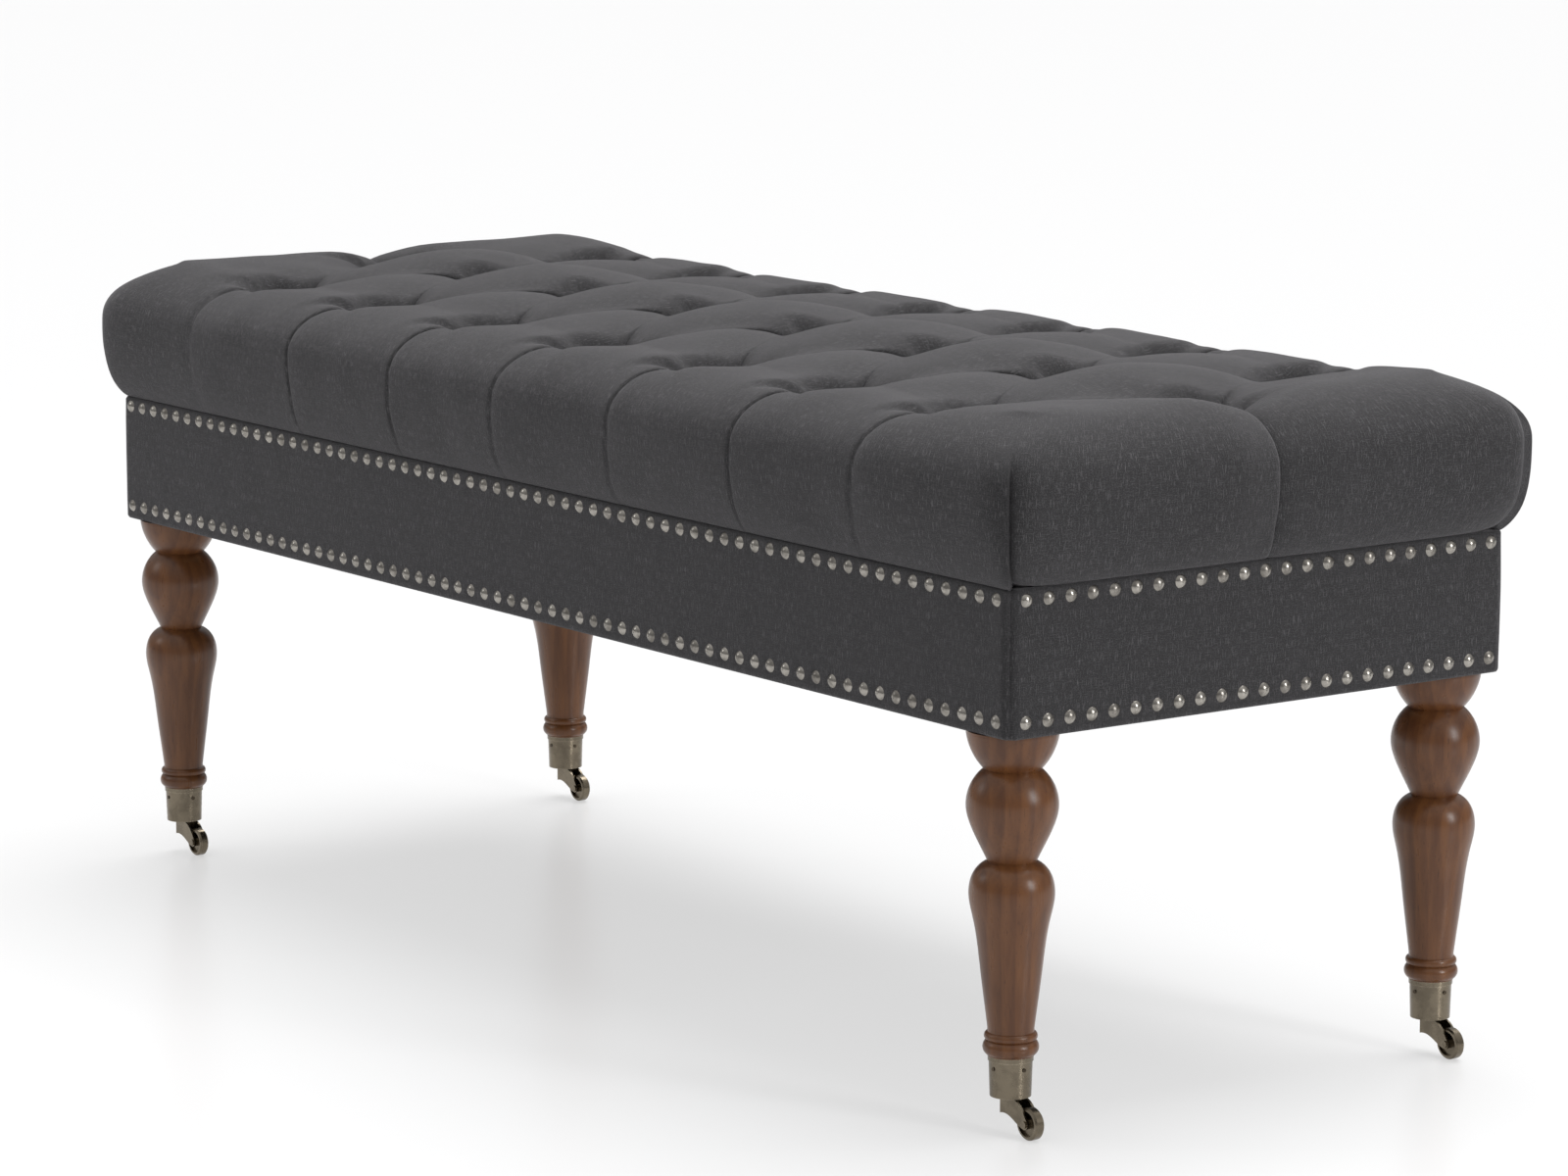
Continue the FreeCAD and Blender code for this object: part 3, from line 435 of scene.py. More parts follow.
seat_linen = linen("seat_linen", LINEN_TONES, turned=True)
apron_linen = linen("apron_linen", LINEN_TONES)
button_linen = linen("button_linen", LINEN_TONES, by_map=False)
dust_cloth = linen("dust_cloth",
                   {"Dark": (0.012, 0.012, 0.013, 1), "Light": (0.05, 0.05, 0.05, 1)})
twine = linen("waxed_twine", {"Dark": (0.42, 0.36, 0.24, 1), "Light": (0.72, 0.65, 0.48, 1)},
              by_map=False)
# each metal's last colour is for its edges: rubbed wear with a painted rim highlight
antique_brass = aged_metal("antique_brass", 0.9 * MM, 70, (0.118, 0.099, 0.073, 1),
                           (0.190, 0.160, 0.118, 1), (0.42, 0.365, 0.28, 1))
dark_brass = aged_metal("dark_brass", 0.3 * MM, 300, (0.02, 0.016, 0.012, 1),
                        (0.09, 0.07, 0.05, 1), (0.3, 0.25, 0.17, 1))
antique_nickel = aged_metal("antique_nickel", 0.8 * MM, 90, (0.07, 0.062, 0.055, 1),
                            (0.34, 0.32, 0.29, 1), (0.55, 0.52, 0.47, 1))
zinc = aged_metal("zinc_plate", 0.4 * MM, 220, (0.3, 0.3, 0.29, 1), (0.52, 0.52, 0.5, 1),
                  (0.7, 0.7, 0.7, 1))

RAW_WOODS = {
    "sawn_hardwood": (90, (0.25, 0.15, 0.07, 1), (0.46, 0.31, 0.17, 1), (0.58, 0.42, 0.25, 1)),
    "beech_dowel": (160, (0.36, 0.24, 0.13, 1), (0.58, 0.42, 0.26, 1), (0.68, 0.53, 0.35, 1)),
    "birch_plywood": (60, (0.34, 0.22, 0.11, 1), (0.56, 0.41, 0.25, 1), (0.66, 0.50, 0.33, 1)),
}
raw_wood = {name: timber(name, (0.1, 2.4, 0.3), *tones) for name, tones in RAW_WOODS.items()}


PITH_HEADINGS = {"front_right": 248, "front_left": 290, "back_left": 60, "back_right": 225}
PITH_REACH = 85 * MM
PITH_HEIGHT = 200 * MM
WALNUT_RINGS = 95.0


def leg_timber(corner):
    """Each leg is cut from its own billet, so its pith lies another way."""
    low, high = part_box(f"leg_{corner}")
    middle = (low + high) / 2
    heading = math.radians(PITH_HEADINGS[corner])
    pith = (middle.x + PITH_REACH * math.cos(heading),
            middle.y + PITH_REACH * math.sin(heading), PITH_HEIGHT)
    return timber(f"walnut_{corner}", pith, WALNUT_RINGS, (0.022, 0.008, 0.004, 1),
                  (0.060, 0.0205, 0.0083, 1), (0.142, 0.056, 0.0185, 1), coat=0.18)


def wear(node, material):
    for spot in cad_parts[node].material_slots:
        spot.link = "OBJECT"
        spot.material = material


def dress_frame():
    """Finishes of the pieces that keep their modelled shape."""
    for corner in CORNERS:
        wear(f"leg_{corner}", leg_timber(corner))
        wear(f"corner_block_{corner}", raw_wood["sawn_hardwood"])
        for piece in ("castor_cup", "castor_fork", "castor_wheel", "castor_axle", "swivel_pin"):
            wear(f"{piece}_{corner}", antique_brass)
    for side in SIDES:
        wear(f"{side}_rail", raw_wood["sawn_hardwood"])
        wear(f"cross_brace_{side}", raw_wood["sawn_hardwood"])
    for depth in DEPTHS:
        wear(f"{depth}_rail", raw_wood["sawn_hardwood"])
    for side in (*SIDES, *DEPTHS):
        wear(f"nails_{side}", antique_nickel)
    wear("cup_nails", dark_brass)
    wear("rail_dowels", raw_wood["beech_dowel"])
    wear("seat_deck", raw_wood["birch_plywood"])
    wear("tuft_ties", twine)
    wear("tuft_buttons", button_linen)
    for node in ("block_screws", "deck_screws", "tuft_washers", "leg_bolts", "leg_inserts"):
        wear(node, zinc)


dress_frame()


# Mesh helpers

def graded(count, pull):
    """Places from 0 to 1, closer together at both ends by pull."""
    q = np.linspace(0, 1, count + 1)
    return q - pull * np.sin(2 * np.pi * q) / (2 * np.pi)


def smooth(value):
    value = np.clip(value, 0, 1)
    return value * value * (3 - 2 * value)


def normals_of(points, faces):
    """Average normals of a mesh's points, from its triangles and quads."""
    total = np.zeros_like(points)
    for face in faces:
        face = np.asarray(face)
        across = points[face[:, 2]] - points[face[:, 0]]
        over = points[face[:, -1]] - points[face[:, 1]]
        flat = np.cross(across, over)
        for k in range(face.shape[1]):
            np.add.at(total, face[:, k], flat)
    return total / np.maximum(np.linalg.norm(total, axis=1, keepdims=True), 1e-12)


def rumple(points, scale, seed):
    """Smooth noise at each point, from about -1 to 1."""
    shift = Vector((seed * 13.7, seed * 5.1, seed * 9.3))
    return np.array([noise.noise(Vector(p) * scale + shift) for p in points])


def make_piece(name, points, faces, material, maps=None, values=None):
    """A smooth-shaded piece on the root body, with the cloth's own coordinates."""
    mesh = bpy.data.meshes.new(name)
    mesh.from_pydata([tuple(p) for p in points], [], faces)
    mesh.polygons.foreach_set("use_smooth", [True] * len(mesh.polygons))
    if maps is not None:
        layer = mesh.uv_layers.new(name="cloth")
        corners = np.empty(len(mesh.loops), np.int32)
        mesh.loops.foreach_get("vertex_index", corners)
        layer.uv.foreach_set("vector", np.asarray(maps, np.float32)[corners].ravel())
    if values is not None:
        held = mesh.attributes.new("turn", "FLOAT", "POINT")
        held.data.foreach_set("value", np.asarray(values, np.float32))
    mesh.materials.append(material)
    piece = bpy.data.objects.new(name, mesh)
    bpy.context.scene.collection.objects.link(piece)
    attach(piece, "root")
    return piece


# Seat: a tufted cover over foam, drawn down at each button and pleated between them

def span(nodes):
    """Lowest and highest corners of several nodes together."""
    boxes = [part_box(node) for node in nodes]
    low = [min(b[0][k] for b in boxes) for k in range(3)]
    high = [max(b[1][k] for b in boxes) for k in range(3)]
    return Vector(low), Vector(high)


APRON_LOW, APRON_HIGH = span([f"apron_cover_{side}" for side in (*SIDES, *DEPTHS)])
HALF_X = APRON_HIGH.x
HALF_Y = APRON_HIGH.y
SEAT_FOOT = APRON_HIGH.z
SEAT_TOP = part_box("seat_foam")[1].z + 2 * MM
BUTTON_LOW, BUTTON_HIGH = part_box("tuft_buttons")
BUTTON_RADIUS = 9.5 * MM
TUFT_ROW = BUTTON_HIGH.y - BUTTON_RADIUS
TUFT_END = BUTTON_HIGH.x - BUTTON_RADIUS
MIDDLE_TUFTS = 8
TUFT_STEP = TUFT_END / (MIDDLE_TUFTS - 1)
TUFT_DEPTH = SEAT_TOP - BUTTON_LOW.z

BULGE = 18 * MM
BULGE_HEIGHT = 67.5 * MM
CROWN_INSET = 45 * MM
BASE_INSET = 2 * MM
DECK_GAP = 0.15 * MM
MID_CREASE = 9 * MM
WRAP_INSET = 20 * MM

ODD_END = MIDDLE_TUFTS - 1
CELLS = 44
CORNER_SHARE = 15
FIELD_PULL = 0.78
CREST_ROWS = 18
SHOULDER_ROWS = 26
BELLY_ROWS = 20

CREASE = math.hypot(TUFT_STEP, TUFT_ROW)
ACROSS = TUFT_STEP * TUFT_ROW / CREASE


def lattice():
    """Creased field between the tufts, in p and m, which are whole odd numbers at the creases."""
    steps = graded(CELLS, FIELD_PULL) * 2
    spans = ODD_END
    line = np.concatenate([-ODD_END + 2 * k + steps[:-1] for k in range(spans)] + [[ODD_END]])
    count = len(line)
    index = -np.ones((count, count), int)
    places = []
    for i in range(count):
        for j in range(max(0, i - CELLS), min(count, i + CELLS + 1)):
            index[i, j] = len(places)
            places.append((line[i], line[j]))
    quads = []
    tris = []
    for i in range(count - 1):
        for j in range(max(0, i - CELLS), min(count - 1, i + CELLS + 1)):
            a, b = index[i, j], index[i + 1, j]
            c, d = index[i + 1, j + 1], index[i, j + 1]
            if min(a, b, c, d) >= 0:
                quads.append((a, d, c, b))
            elif a >= 0 and c >= 0 and b >= 0:
                tris.append((a, c, b))
            elif a >= 0 and c >= 0 and d >= 0:
                tris.append((a, d, c))
    return np.array(places), quads, tris, index


def field_rim(index):
    """Points round the creased field, anticlockwise from the front left tuft."""
    last = len(index) - 1
    n = CELLS
    front = [(i, i + n) for i in range(0, last - n + 1)]
    right = [(i, last) for i in range(last - n + 1, last + 1)]
    right += [(last, j) for j in range(last - 1, last - n - 1, -1)]
    back = [(i, i - n) for i in range(last - 1, n - 1, -1)]
    left = [(i, 0) for i in range(n - 1, -1, -1)]
    left += [(0, j) for j in range(1, n)]
    return [index[i, j] for i, j in front + right + back + left]


def crown_targets(rim):
    """Where a quarter of the columns leave the crown, each marked 1 where it goes down the end."""
    n = CELLS
    edge_x = HALF_X - CROWN_INSET
    edge_y = HALF_Y - CROWN_INSET
    side_tuft = TUFT_END - TUFT_STEP
    near = graded(CORNER_SHARE, 0.9)
    far = graded(n - CORNER_SHARE, 0.9)
    long_count = len(rim) // 2 - 2 * n
    quarter = [(side_tuft + (edge_x - side_tuft) * q, -edge_y, 0) for q in near[1:]]
    quarter += [(edge_x, -edge_y + edge_y * q, 1) for q in far[1:]]
    return edge_y, quarter, long_count


CROWN_RISE = 9 * MM
CROWN_FALL = 15 * MM
CROWN_LEVEL = 430 * MM
CROWN_FADE = 140 * MM


def crown(x, y):
    """How far the filled seat's top stands over its height by the shoulders, or under it."""
    over = CROWN_RISE - CROWN_FALL * np.minimum(np.abs(y) / TUFT_ROW, 1.05) ** 1.7
    return over * (1 - smooth((np.abs(x) - CROWN_LEVEL) / CROWN_FADE))


def seat_columns(places, rim):
    edge_y, quarter, long_count = crown_targets(rim)
    starts = places[rim]
    half = len(rim) // 2
    targets = np.zeros((len(rim), 2))
    on_end = np.zeros(len(rim), int)
    for k in range(long_count + 1):
        targets[k] = (starts[k, 0], -edge_y)
    for k, (x, y, end) in enumerate(quarter, start=long_count + 1):
        targets[k] = (x, y)
        on_end[k] = end
    mirrored = [(x, -y, end) for x, y, end in reversed(quarter[:-1])]
    first_back = long_count + len(quarter) + 1
    for k, (x, y, end) in enumerate(mirrored, start=first_back):
        targets[k] = (x, y)
        on_end[k] = end
    # the other half is this one turned half round
    targets[half:] = -targets[:half]
    on_end[half:] = on_end[:half]
    return targets, on_end


def corner_radius(out, height):
    """Plan radius of the pillow's corner: none at the crown, wide at the shoulder, tight below."""
    up = (height - SEAT_FOOT) / BULGE_HEIGHT
    if up <= 1:
        return (10 + 14 * float(smooth(up))) * MM
    return min(46 * float(smooth((out + CROWN_INSET) / (26 * MM))),
               24 + 22 * float(smooth((BULGE - out) / (34 * MM)))) * MM


def outline_point(along, out, radius, half_x, half_y):
    """A point on the rounded outline's front side, measured from its middle."""
    reach = half_x + out - radius
    over = np.maximum(np.abs(along) - reach, 0)
    angle = np.where(radius > 1e-6, over / np.maximum(radius, 1e-6), 0)
    x = np.sign(along) * (np.minimum(np.abs(along), reach) + radius * np.sin(angle))
    y = -(half_y + out - radius) - radius * np.cos(angle)
    return x, y


def pillow_profile():
    """Rows down the pillow's side, as outset, height and distance along the cloth."""
    belly_z = SEAT_FOOT + BULGE_HEIGHT
    rise = SEAT_TOP - belly_z
    rows = []
    for turn in np.linspace(math.pi / 2, 0, SHOULDER_ROWS + 1):
        rows.append((-CROWN_INSET + (BULGE + CROWN_INSET) * math.cos(turn),
                     belly_z + rise * math.sin(turn)))
    for turn in np.linspace(0, math.pi / 2, BELLY_ROWS + 1)[1:]:
        rows.append((-BASE_INSET + (BULGE + BASE_INSET) * max(math.cos(turn), 0) ** 1.3,
                     belly_z - BULGE_HEIGHT * math.sin(turn)))
    rows = np.array(rows)
    steps = np.linalg.norm(np.diff(rows, axis=0), axis=1)
    return rows, np.concatenate([[0], np.cumsum(steps)])


def nearest_odd(value, low, high):
    return np.clip(2 * np.round((value - 1) / 2) + 1, low, high)


# A knife pleat's cross-section: place across it, then how far the cloth shifts over and rises.
PLEAT_PLACES = np.array([-14, -7, -3, -1.5, -0.7, 0, 0.7, 1.6, 3.5, 8, 16]) * MM
PLEAT_SHIFTS = np.array([0, 0.3, 0.8, 1.2, 1.4, 0.8, -0.4, -0.5, -0.2, 0, 0]) * MM
PLEAT_RISES = np.array([0, 0.3, 0.5, 0.3, -0.3, -1.9, -2.2, -1.5, -0.8, -0.25, 0]) * MM


def pleat(across, strength, widen=0.0):
    """Sideways shift and rise of a pleat, which grows in all ways with widen."""
    place = across / (1 + 0.8 * widen)
    shift = np.interp(place, PLEAT_PLACES, PLEAT_SHIFTS) * strength * (1 + 3 * widen)
    rise = np.interp(place, PLEAT_PLACES, PLEAT_RISES) * strength * (1 + 3 * widen)
    return shift, rise


def dome(away, reach):
    """Share of a crease's depth left at a distance from it, where puffed cloth rises from it."""
    left = 1 - np.clip(away / reach, 0, 1)
    return 0.6 * (1 - np.sqrt(1 - left ** 2)) + 0.4 * left ** 2.4


def crease_family(level, along):
    """Depth and fold of the creases at odd levels.

    The mound on each tuft's left ends in a round nose, folded over the crease beyond it."""
    line = nearest_odd(level, -ODD_END, ODD_END)
    across = (level - line) * ACROSS
    low = np.maximum(line - 2, -ODD_END)
    high = np.minimum(line + 2, ODD_END)
    tuft = nearest_odd(along, low, high)
    past = (along - tuft) * CREASE / 2
    run = np.abs(past)
    over = np.maximum(np.maximum(along - high, low - along), 0) * CREASE / 2
    held = np.exp(-(over / (20 * MM)) ** 2)
    depth = MID_CREASE + (TUFT_DEPTH - MID_CREASE) * np.exp(-(run / (18 * MM)) ** 0.85)
    soft = 0.4 * MM + 13 * MM * smooth((run - 12 * MM) / (48 * MM))
    away = np.sqrt(across ** 2 + soft ** 2) - soft
    gentle = np.maximum(1 - away / (ACROSS * 0.99), 0) ** 2.4
    steep = dome(away, 40 * MM)
    nose = 0.5 * (1 - np.tanh(past / (4 * MM))) * (across < 0)
    near = np.exp(-(run / (42 * MM)) ** 2) * nose
    shape = gentle * (1 - near) + steep * near
    strong = (past < 0) * (1 - smooth((run - 26 * MM) / (40 * MM)))
    fold = held * smooth((run - 2 * MM) / (6 * MM)) * (0.10 + 0.90 * strong)
    return depth * shape * held, (across, fold, np.exp(-run / (16 * MM)))


def nearest_step(x, odd):
    """The nearest tuft column: of the middle row if odd, else of the side rows."""
    if odd:
        return nearest_odd(x / TUFT_STEP, -ODD_END, ODD_END) * TUFT_STEP
    reach = ODD_END - 1
    return np.clip(2 * np.round(x / TUFT_STEP / 2), -reach, reach) * TUFT_STEP


LEANS = {side: RANDOM.uniform(-18, -6, MIDDLE_TUFTS) * MM for side in ("front", "back")}


def well_depth(x, y):
    """How far the buttons draw the cloth down, and the angle round the nearest one."""
    total = np.zeros_like(x)
    twist = np.zeros_like(x)
    nearest = np.full_like(x, 9.0)
    for odd, rows in ((True, (0,)), (False, (-1, 1))):
        column = nearest_step(x, odd)
        for row in rows:
            dx = x - column
            dy = y - row * TUFT_ROW
            away = np.hypot(dx, dy)
            right = 0.5 + 0.5 * dx / np.maximum(away, 1e-6)
            reach = (30 + 30 * smooth(right)) * MM
            total = np.maximum(total, TUFT_DEPTH * dome(away - BUTTON_RADIUS, reach))
            closer = away < nearest
            twist = np.where(closer, np.arctan2(dy, dx), twist)
            nearest = np.minimum(nearest, away)
    return total, nearest, twist


def tufted(x, y, end_side):
    """Drop below the plain pillow at a place on the laid-out cloth, with sideways shifts."""
    p = x / TUFT_STEP + y / TUFT_ROW
    m = x / TUFT_STEP - y / TUFT_ROW
    first, fold_p = crease_family(p, m)
    other, fold_m = crease_family(m, p)
    wells, nearest, twist = well_depth(x, y)
    # pleats run from the side tufts over the long edges, and from the end tufts over the ends
    beyond = np.maximum(np.abs(y) - TUFT_ROW, 0)
    column = nearest_step(x, odd=False)
    number = np.clip(np.round(column / TUFT_STEP / 2 + (MIDDLE_TUFTS - 2) / 2), 0,
                     MIDDLE_TUFTS - 2).astype(int)
    lean = np.where(y < 0, LEANS["front"][number], LEANS["back"][number])
    across_side = x - column - lean * smooth(beyond / (200 * MM)) ** 1.2
    open_side = smooth(beyond / (14 * MM)) * (1 - end_side)
    side_depth = (36 * MM * np.exp(-(beyond / (27 * MM)) ** 1.2)
                  + 1.5 * MM * np.exp(-(beyond / (60 * MM)) ** 2) + 0.3 * MM) * open_side
    side_away = np.sqrt(across_side ** 2 + (0.6 * MM) ** 2) - 0.6 * MM
    side = side_depth * dome(side_away, np.where(across_side < 0, 34 * MM, 62 * MM))
    past = np.maximum(np.abs(x) - TUFT_END, 0)
    across_end = y
    open_end = smooth(past / (14 * MM)) * end_side
    end_depth = (17 * MM * np.exp(-past / (70 * MM)) + 2.5 * MM) * open_end
    end_depth = end_depth + 18 * MM * np.exp(-past / (24 * MM)) * open_end
    end_away = np.sqrt(across_end ** 2 + (0.6 * MM) ** 2) - 0.6 * MM
    end = end_depth * dome(end_away, np.where(across_end < 0, 50 * MM, 90 * MM))
    power = 1.7
    drop = (first ** power + other ** power + wells ** power + side ** power
            + end ** power) ** (1 / power)
    drop = drop / (1 + (drop / TUFT_DEPTH) ** 7) ** (1 / 7)
    pucker = np.exp(-((nearest - 19 * MM) / (9 * MM)) ** 2)
    drop = drop + 0.7 * MM * np.cos(7 * twist + 1.3 + 9 * column / TUFT_STEP) * pucker
    return {
        "drop": drop, "p": fold_p, "m": fold_m,
        "side": (across_side, open_side * (0.45 + 0.7 * np.exp(-beyond / (40 * MM))),
                 1.2 * np.exp(-beyond / (26 * MM))),
        "end": (across_end, 1.5 * open_end, np.exp(-past / (20 * MM))),
    }


def build_seat():
    places, quads, tris, index = lattice()
    flat = np.stack([(places[:, 0] + places[:, 1]) / 2 * TUFT_STEP,
                     (places[:, 0] - places[:, 1]) / 2 * TUFT_ROW], axis=1)
    rim = field_rim(index)
    targets, on_end = seat_columns(flat, rim)
    profile, run = pillow_profile()
    columns = len(rim)
    rows = []
    maps = []
    ends = []
    starts = flat[rim]
    to_end = on_end.astype(float)
    for q in graded(CREST_ROWS, 0.35)[1:]:
        at = starts + (targets - starts) * q
        rows.append(np.column_stack([at, SEAT_TOP + crown(at[:, 0], at[:, 1])]))
        maps.append(at)
        ends.append(to_end)
    edge_x = HALF_X - CROWN_INSET
    edge_y = HALF_Y - CROWN_INSET
    keep_x = TUFT_END - TUFT_STEP
    keep_y = 40 * MM
    sign_x = np.sign(targets[:, 0])
    sign_y = np.sign(targets[:, 1])
    lift = crown(targets[:, 0], targets[:, 1])
    belly_z = SEAT_FOOT + BULGE_HEIGHT
    for (out, height), away in zip(profile[1:], run[1:]):
        radius = corner_radius(out, height)
        reach = HALF_X + out - radius + radius * math.pi / 4
        push = smooth((np.abs(targets[:, 0]) - keep_x) / (edge_x - keep_x))
        along = targets[:, 0] + sign_x * (reach - edge_x) * push
        x, y = outline_point(along, out, radius, HALF_X, HALF_Y)
        long_side = np.column_stack([x, -sign_y * y])
        reach = HALF_Y + out - radius + radius * math.pi / 4
        push = smooth((np.abs(targets[:, 1]) - keep_y) / (edge_y - keep_y))
        along = targets[:, 1] + sign_y * (reach - edge_y) * push
        y, x = outline_point(along, out, radius, HALF_Y, HALF_X)
        short_side = np.column_stack([-sign_x * x, y])
        at = np.where(on_end[:, None] == 1, short_side, long_side)
        share = max(0.0, (height - belly_z) / (SEAT_TOP - belly_z))
        rows.append(np.column_stack([at, height + lift * share]))
        spread = np.where(on_end[:, None] == 1,
                          np.column_stack([targets[:, 0] + sign_x * away, targets[:, 1]]),
                          np.column_stack([targets[:, 0], targets[:, 1] + sign_y * away]))
        maps.append(spread)
        ends.append(to_end)
    base = len(flat)
    top = SEAT_TOP + crown(flat[:, 0], flat[:, 1])
    points = np.vstack([np.column_stack([flat, top])] + rows)
    cloth = np.vstack([flat] + maps)
    end_side = np.concatenate([np.zeros(base)] + ends)
    ring = [list(rim)] + [list(base + r * columns + np.arange(columns)) for r in range(len(rows))]
    for upper, lower in zip(ring, ring[1:]):
        for k in range(columns):
            n = (k + 1) % columns
            quads.append((upper[k], lower[k], lower[n], upper[n]))
    # the end quarter takes over smoothly from the long side round the corner
    shade = tufted(cloth[:, 0], cloth[:, 1], np.where(np.abs(cloth[:, 0]) > TUFT_END, 1.0, 0.0)
                   * (np.abs(cloth[:, 1]) < np.abs(cloth[:, 0]) - 0.1))
    normals = normals_of(points, [quads, tris])
    grain = rumple(points, 9.0, 1) * 2.2 * MM + rumple(points, 26.0, 2) * 0.9 * MM
    foot = smooth((points[:, 2] - SEAT_FOOT) / (25 * MM))
    drop = shade["drop"] * (0.15 + 0.85 * foot)
    drop = drop - grain * foot * (1 - np.clip(shade["drop"] / (20 * MM), 0, 1))
    moved = points - normals * drop[:, None]
    field = np.abs(cloth[:, 1]) <= TUFT_ROW + 1 * MM
    ways = {
        "p": np.array([TUFT_ROW, TUFT_STEP, 0.0]) / CREASE,
        "m": np.array([TUFT_ROW, -TUFT_STEP, 0.0]) / CREASE,
    }
    for family, way in ways.items():
        across, fold, near = shade[family]
        shift, rise = pleat(across, fold * field, near)
        moved += way * shift[:, None] + normals * rise[:, None]
    shift, rise = pleat(*shade["side"])
    moved[:, 0] += shift
    moved += normals * (rise * (0.35 + 0.65 * foot))[:, None]
    shift, rise = pleat(*shade["end"])
    moved[:, 1] += shift
    moved += normals * (rise * (0.35 + 0.65 * foot))[:, None]
    # the corner's seam is folded with the long side over the end
    past_x = np.abs(cloth[:, 0]) - edge_x
    past_y = np.abs(cloth[:, 1]) - edge_y
    turned = np.where(end_side > 0.5, -past_y, past_x)
    below = smooth((BULGE_HEIGHT + 32 * MM - (points[:, 2] - SEAT_FOOT)) / (24 * MM))
    below = below * (np.maximum(past_x, past_y) > 0)
    seam_rise = np.where(end_side > 0.5, -6.5 * MM * np.exp(-np.abs(turned) / (10 * MM)),
                         1.2 * MM * np.exp(-np.abs(turned) / (4 * MM)))
    moved += normals * (seam_rise * below)[:, None]
    points = moved
    # the cover wraps the deck's edge and the foam ends on the deck
    deck_low, deck_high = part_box("seat_deck")
    inner = WRAP_INSET
    wrap = [(-BASE_INSET - 8 * MM, SEAT_FOOT), (-inner, SEAT_FOOT),
            (-inner, deck_low.z - DECK_GAP), (deck_high.x - HALF_X + DECK_GAP,
                                              deck_low.z - DECK_GAP),
            (deck_high.x - HALF_X + DECK_GAP, deck_high.z + DECK_GAP)]
    last = ring[-1]
    foot_ring = points[last]
    added = []
    for out, height in wrap:
        share_x = (HALF_X + out) / (HALF_X - BASE_INSET)
        share_y = (HALF_Y + out) / (HALF_Y - BASE_INSET)
        added.append(np.column_stack([foot_ring[:, 0] * share_x, foot_ring[:, 1] * share_y,
                                      np.full(columns, height)]))
    total = len(points)
    points = np.vstack([points] + added)
    cloth = np.vstack([cloth] + [cloth[last]] * len(added))
    end_side = np.concatenate([end_side] + [end_side[last]] * len(added))
    rings = [last] + [list(total + r * columns + np.arange(columns)) for r in range(len(added))]
    for upper, lower in zip(rings, rings[1:]):
        for k in range(columns):
            n = (k + 1) % columns
            quads.append((upper[k], lower[k], lower[n], upper[n]))
    faces = [tuple(int(v) for v in f) for f in quads + tris]
    faces.append(tuple(int(v) for v in reversed(rings[-1])))
    seat = make_piece("tufted_seat", points, faces, seat_linen, cloth, end_side)
    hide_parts("seat_foam", "seat_cover")
    return seat


build_seat()


# Apron cloth: a stretched panel to each side, pinned back at every nail

NAIL_RISE = 0.8 * MM
COVER_THICK = 1.9 * MM
LIP = 20 * MM
APRON_CORNER = 8 * MM
NAIL_ROWS = (12 * MM, 98.5 * MM)
NAIL_INSET = 14.7 * MM
NAIL_COUNTS = {"front": 64, "right": 23, "back": 64, "left": 23}


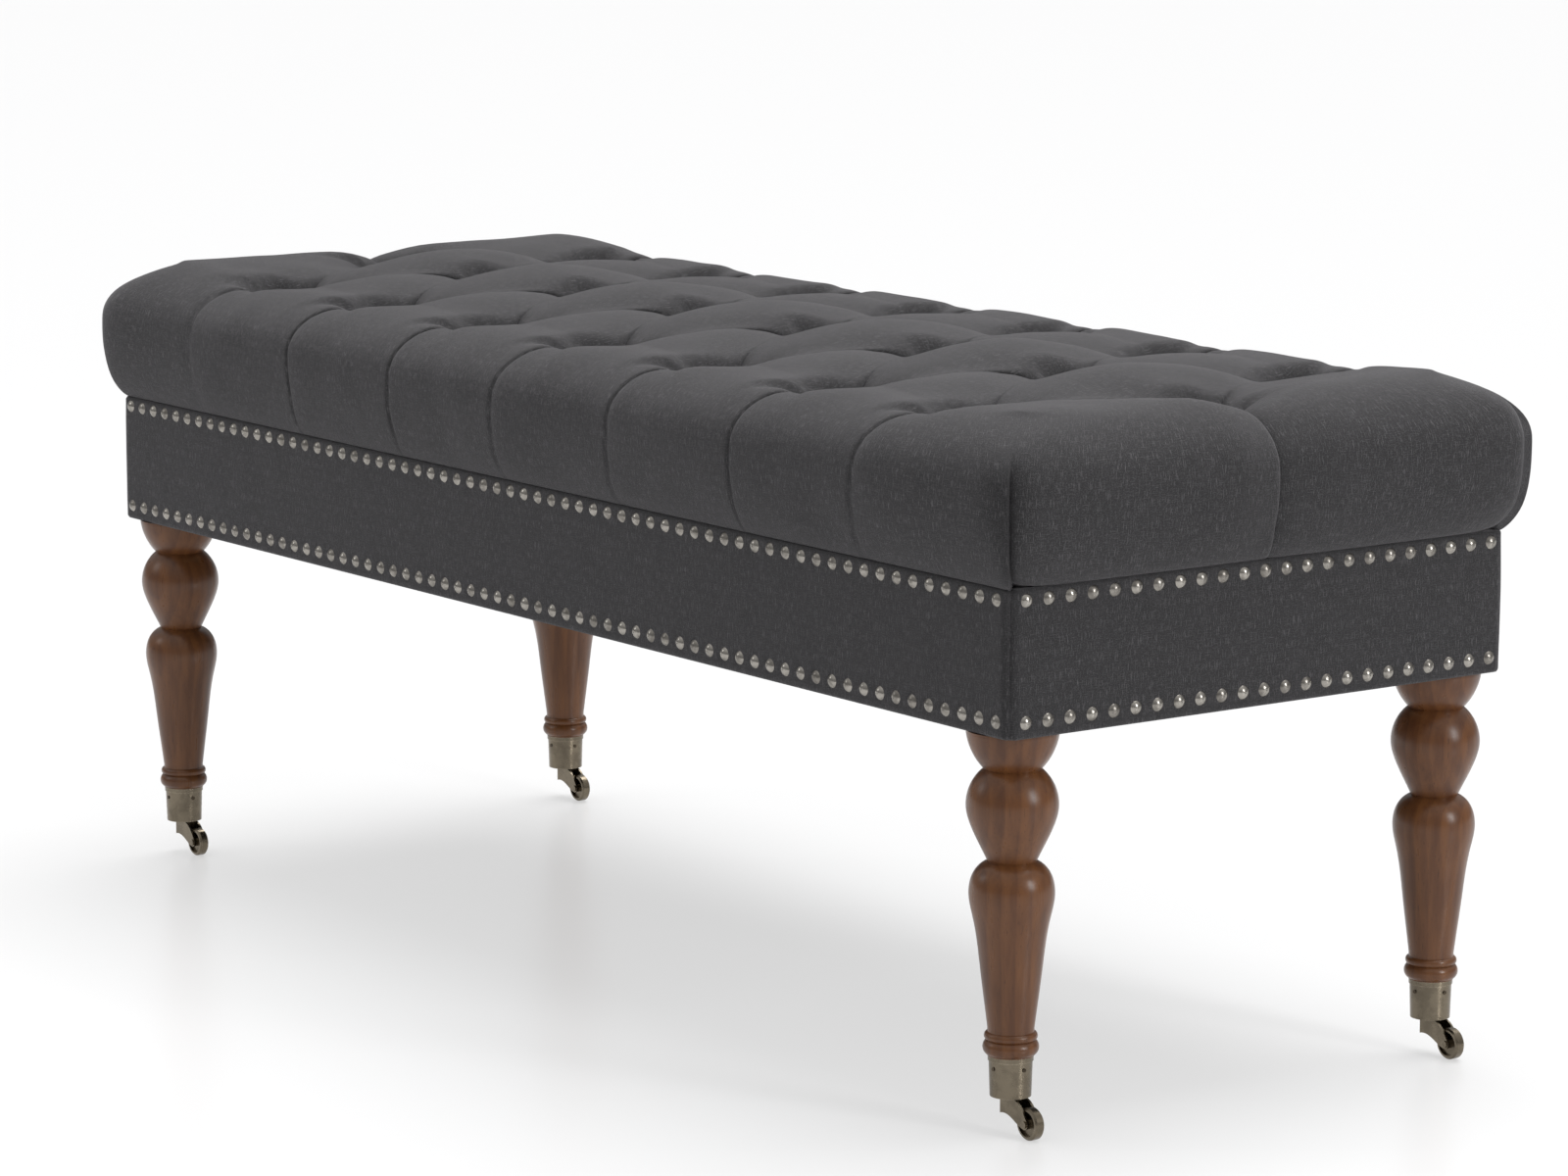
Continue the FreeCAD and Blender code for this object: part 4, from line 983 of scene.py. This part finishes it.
def apron_panel(side, turn, half, fixed):
    """One panel, built facing -Y and turned to its side."""
    reach = half - APRON_CORNER + APRON_CORNER * math.pi / 4
    count = int(2 * reach / (3.4 * MM))
    along = np.linspace(-reach, reach, count + 1)
    low, high = APRON_LOW.z, APRON_HIGH.z
    bend = 1.6 * MM
    rows = [(LIP, low), (LIP / 2, low), (bend * 1.5, low), (bend * 0.3, low + bend * 0.3),
            (0, low + bend * 1.5)]
    rows += [(0, z) for z in np.linspace(low + 5 * MM, high - 5 * MM, 34)]
    rows += [(0, high - bend * 1.5), (bend * 0.3, high - bend * 0.3), (bend * 1.5, high),
             (LIP / 2, high), (LIP, high)]
    rows = np.array(rows)
    step = np.concatenate([[0], np.cumsum(np.linalg.norm(np.diff(rows, axis=0), axis=1))])
    radius = APRON_CORNER
    over = np.maximum(np.abs(along) - (half - radius), 0)
    angle = over / radius
    x = np.sign(along) * (np.minimum(np.abs(along), half - radius) + radius * np.sin(angle))
    y = -(fixed - radius) - radius * np.cos(angle)
    out_x = np.sign(along) * np.sin(angle)
    out_y = -np.cos(angle)
    nail_x = -(half - NAIL_INSET) + np.arange(NAIL_COUNTS[side]) * (
        2 * (half - NAIL_INSET) / (NAIL_COUNTS[side] - 1))
    points = []
    maps = []
    for (inward, z), v in zip(rows, step):
        near = np.abs(along[:, None] - nail_x[None, :]).min(axis=1)
        rise = np.ones_like(along)
        for row in NAIL_ROWS:
            away = np.hypot(near, z - low - row)
            rise = rise * (1 - np.exp(-(away / (6.5 * MM)) ** 2))
        on_face = 1.0 if inward == 0 else 0.0
        middle = math.sin(math.pi * (z - low) / (high - low))
        puff = NAIL_RISE * (0.35 + 0.65 * rise) * on_face * (0.7 + 0.6 * middle)
        seam = 0.9 * MM * np.exp(-((reach - np.abs(along)) / (1.6 * MM)) ** 2)
        lift = puff - seam * (1 if inward < LIP / 4 else 0)
        spots = np.column_stack([along, np.full_like(along, z), np.full_like(along, turn)])
        lift = lift + 0.35 * MM * rumple(spots, 30.0, 3) * on_face
        pull = np.clip(inward / LIP, 0, 1) * LIP
        px = x + out_x * lift - np.sign(x) * np.minimum(
            np.maximum(np.abs(x) - (half - radius - LIP + 8 * MM), 0), pull) * (inward > 0)
        py = y + out_y * lift + pull
        points.append(np.column_stack([px, py, np.full_like(px, z)]))
        maps.append(np.column_stack([along, np.full_like(along, v)]))
    points = np.vstack(points)
    maps = np.vstack(maps)
    wide = count + 1
    faces = [(r * wide + k, r * wide + k + 1, (r + 1) * wide + k + 1, (r + 1) * wide + k)
             for r in range(len(rows) - 1) for k in range(count)]
    c, s = math.cos(math.radians(turn)), math.sin(math.radians(turn))
    points = np.column_stack([points[:, 0] * c - points[:, 1] * s,
                              points[:, 0] * s + points[:, 1] * c, points[:, 2]])
    panel = make_piece(f"apron_panel_{side}", points, faces, apron_linen, maps)
    shell = panel.modifiers.new("thickness", "SOLIDIFY")
    shell.thickness = COVER_THICK
    shell.offset = -1
    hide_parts(f"apron_cover_{side}")


apron_panel("front", 0, HALF_X, HALF_Y)
apron_panel("right", 90, HALF_Y, HALF_X)
apron_panel("back", 180, HALF_X, HALF_Y)
apron_panel("left", 270, HALF_Y, HALF_X)


# Dust cover: thin cloth under the frame, notched round the legs and sagging a little

DUST_NOTCH_LENGTH = 80 * MM
DUST_NOTCH_WIDTH = 74 * MM
DUST_THICK = 0.8 * MM
DUST_SAG = 3.5 * MM


def dust_cover():
    low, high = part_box("dust_cover")
    notch_x = high.x - (HALF_X - DUST_NOTCH_LENGTH)
    notch_y = high.y - (HALF_Y - DUST_NOTCH_WIDTH)
    def line(half, notch, step):
        inner = np.linspace(-(half - notch), half - notch, int(2 * (half - notch) / step) + 1)
        edge = np.linspace(half - notch, half, 9)[1:]
        return np.concatenate([-edge[::-1], inner, edge])
    xs, ys = line(high.x, notch_x, 14 * MM), line(high.y, notch_y, 12 * MM)
    x, y = np.meshgrid(xs, ys)
    inside = (1 - (x / high.x) ** 6) * (1 - (y / (high.y - 12 * MM)) ** 4)
    pull = np.cos(x * 2 * math.pi / (52 * MM)) * np.exp(-(high.y - np.abs(y)) / (20 * MM))
    sag = DUST_SAG * np.clip(inside, 0, 1)
    spots = np.column_stack([x.ravel(), y.ravel(), np.zeros(x.size)])
    wave = rumple(spots, 8.0, 6).reshape(x.shape) * 1.2 * MM * np.clip(inside, 0, 1)
    z = low.z - sag + wave + 0.25 * MM * (pull - 1)
    points = np.column_stack([x.ravel(), y.ravel(), z.ravel()])
    wide = len(xs)
    faces = []
    for r in range(len(ys) - 1):
        for k in range(wide - 1):
            at_x, at_y = (xs[k] + xs[k + 1]) / 2, (ys[r] + ys[r + 1]) / 2
            if abs(at_x) > high.x - notch_x and abs(at_y) > high.y - notch_y:
                continue
            a = r * wide + k
            faces.append((a, a + wide, a + wide + 1, a + 1))
    used = sorted({v for face in faces for v in face})
    index = {v: n for n, v in enumerate(used)}
    faces = [tuple(index[v] for v in face) for face in faces]
    cloth = make_piece("stapled_dust_cloth", points[used], faces, dust_cloth, points[used][:, :2])
    shell = cloth.modifiers.new("thickness", "SOLIDIFY")
    shell.thickness = DUST_THICK
    shell.offset = -1
    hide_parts("dust_cover")


dust_cover()
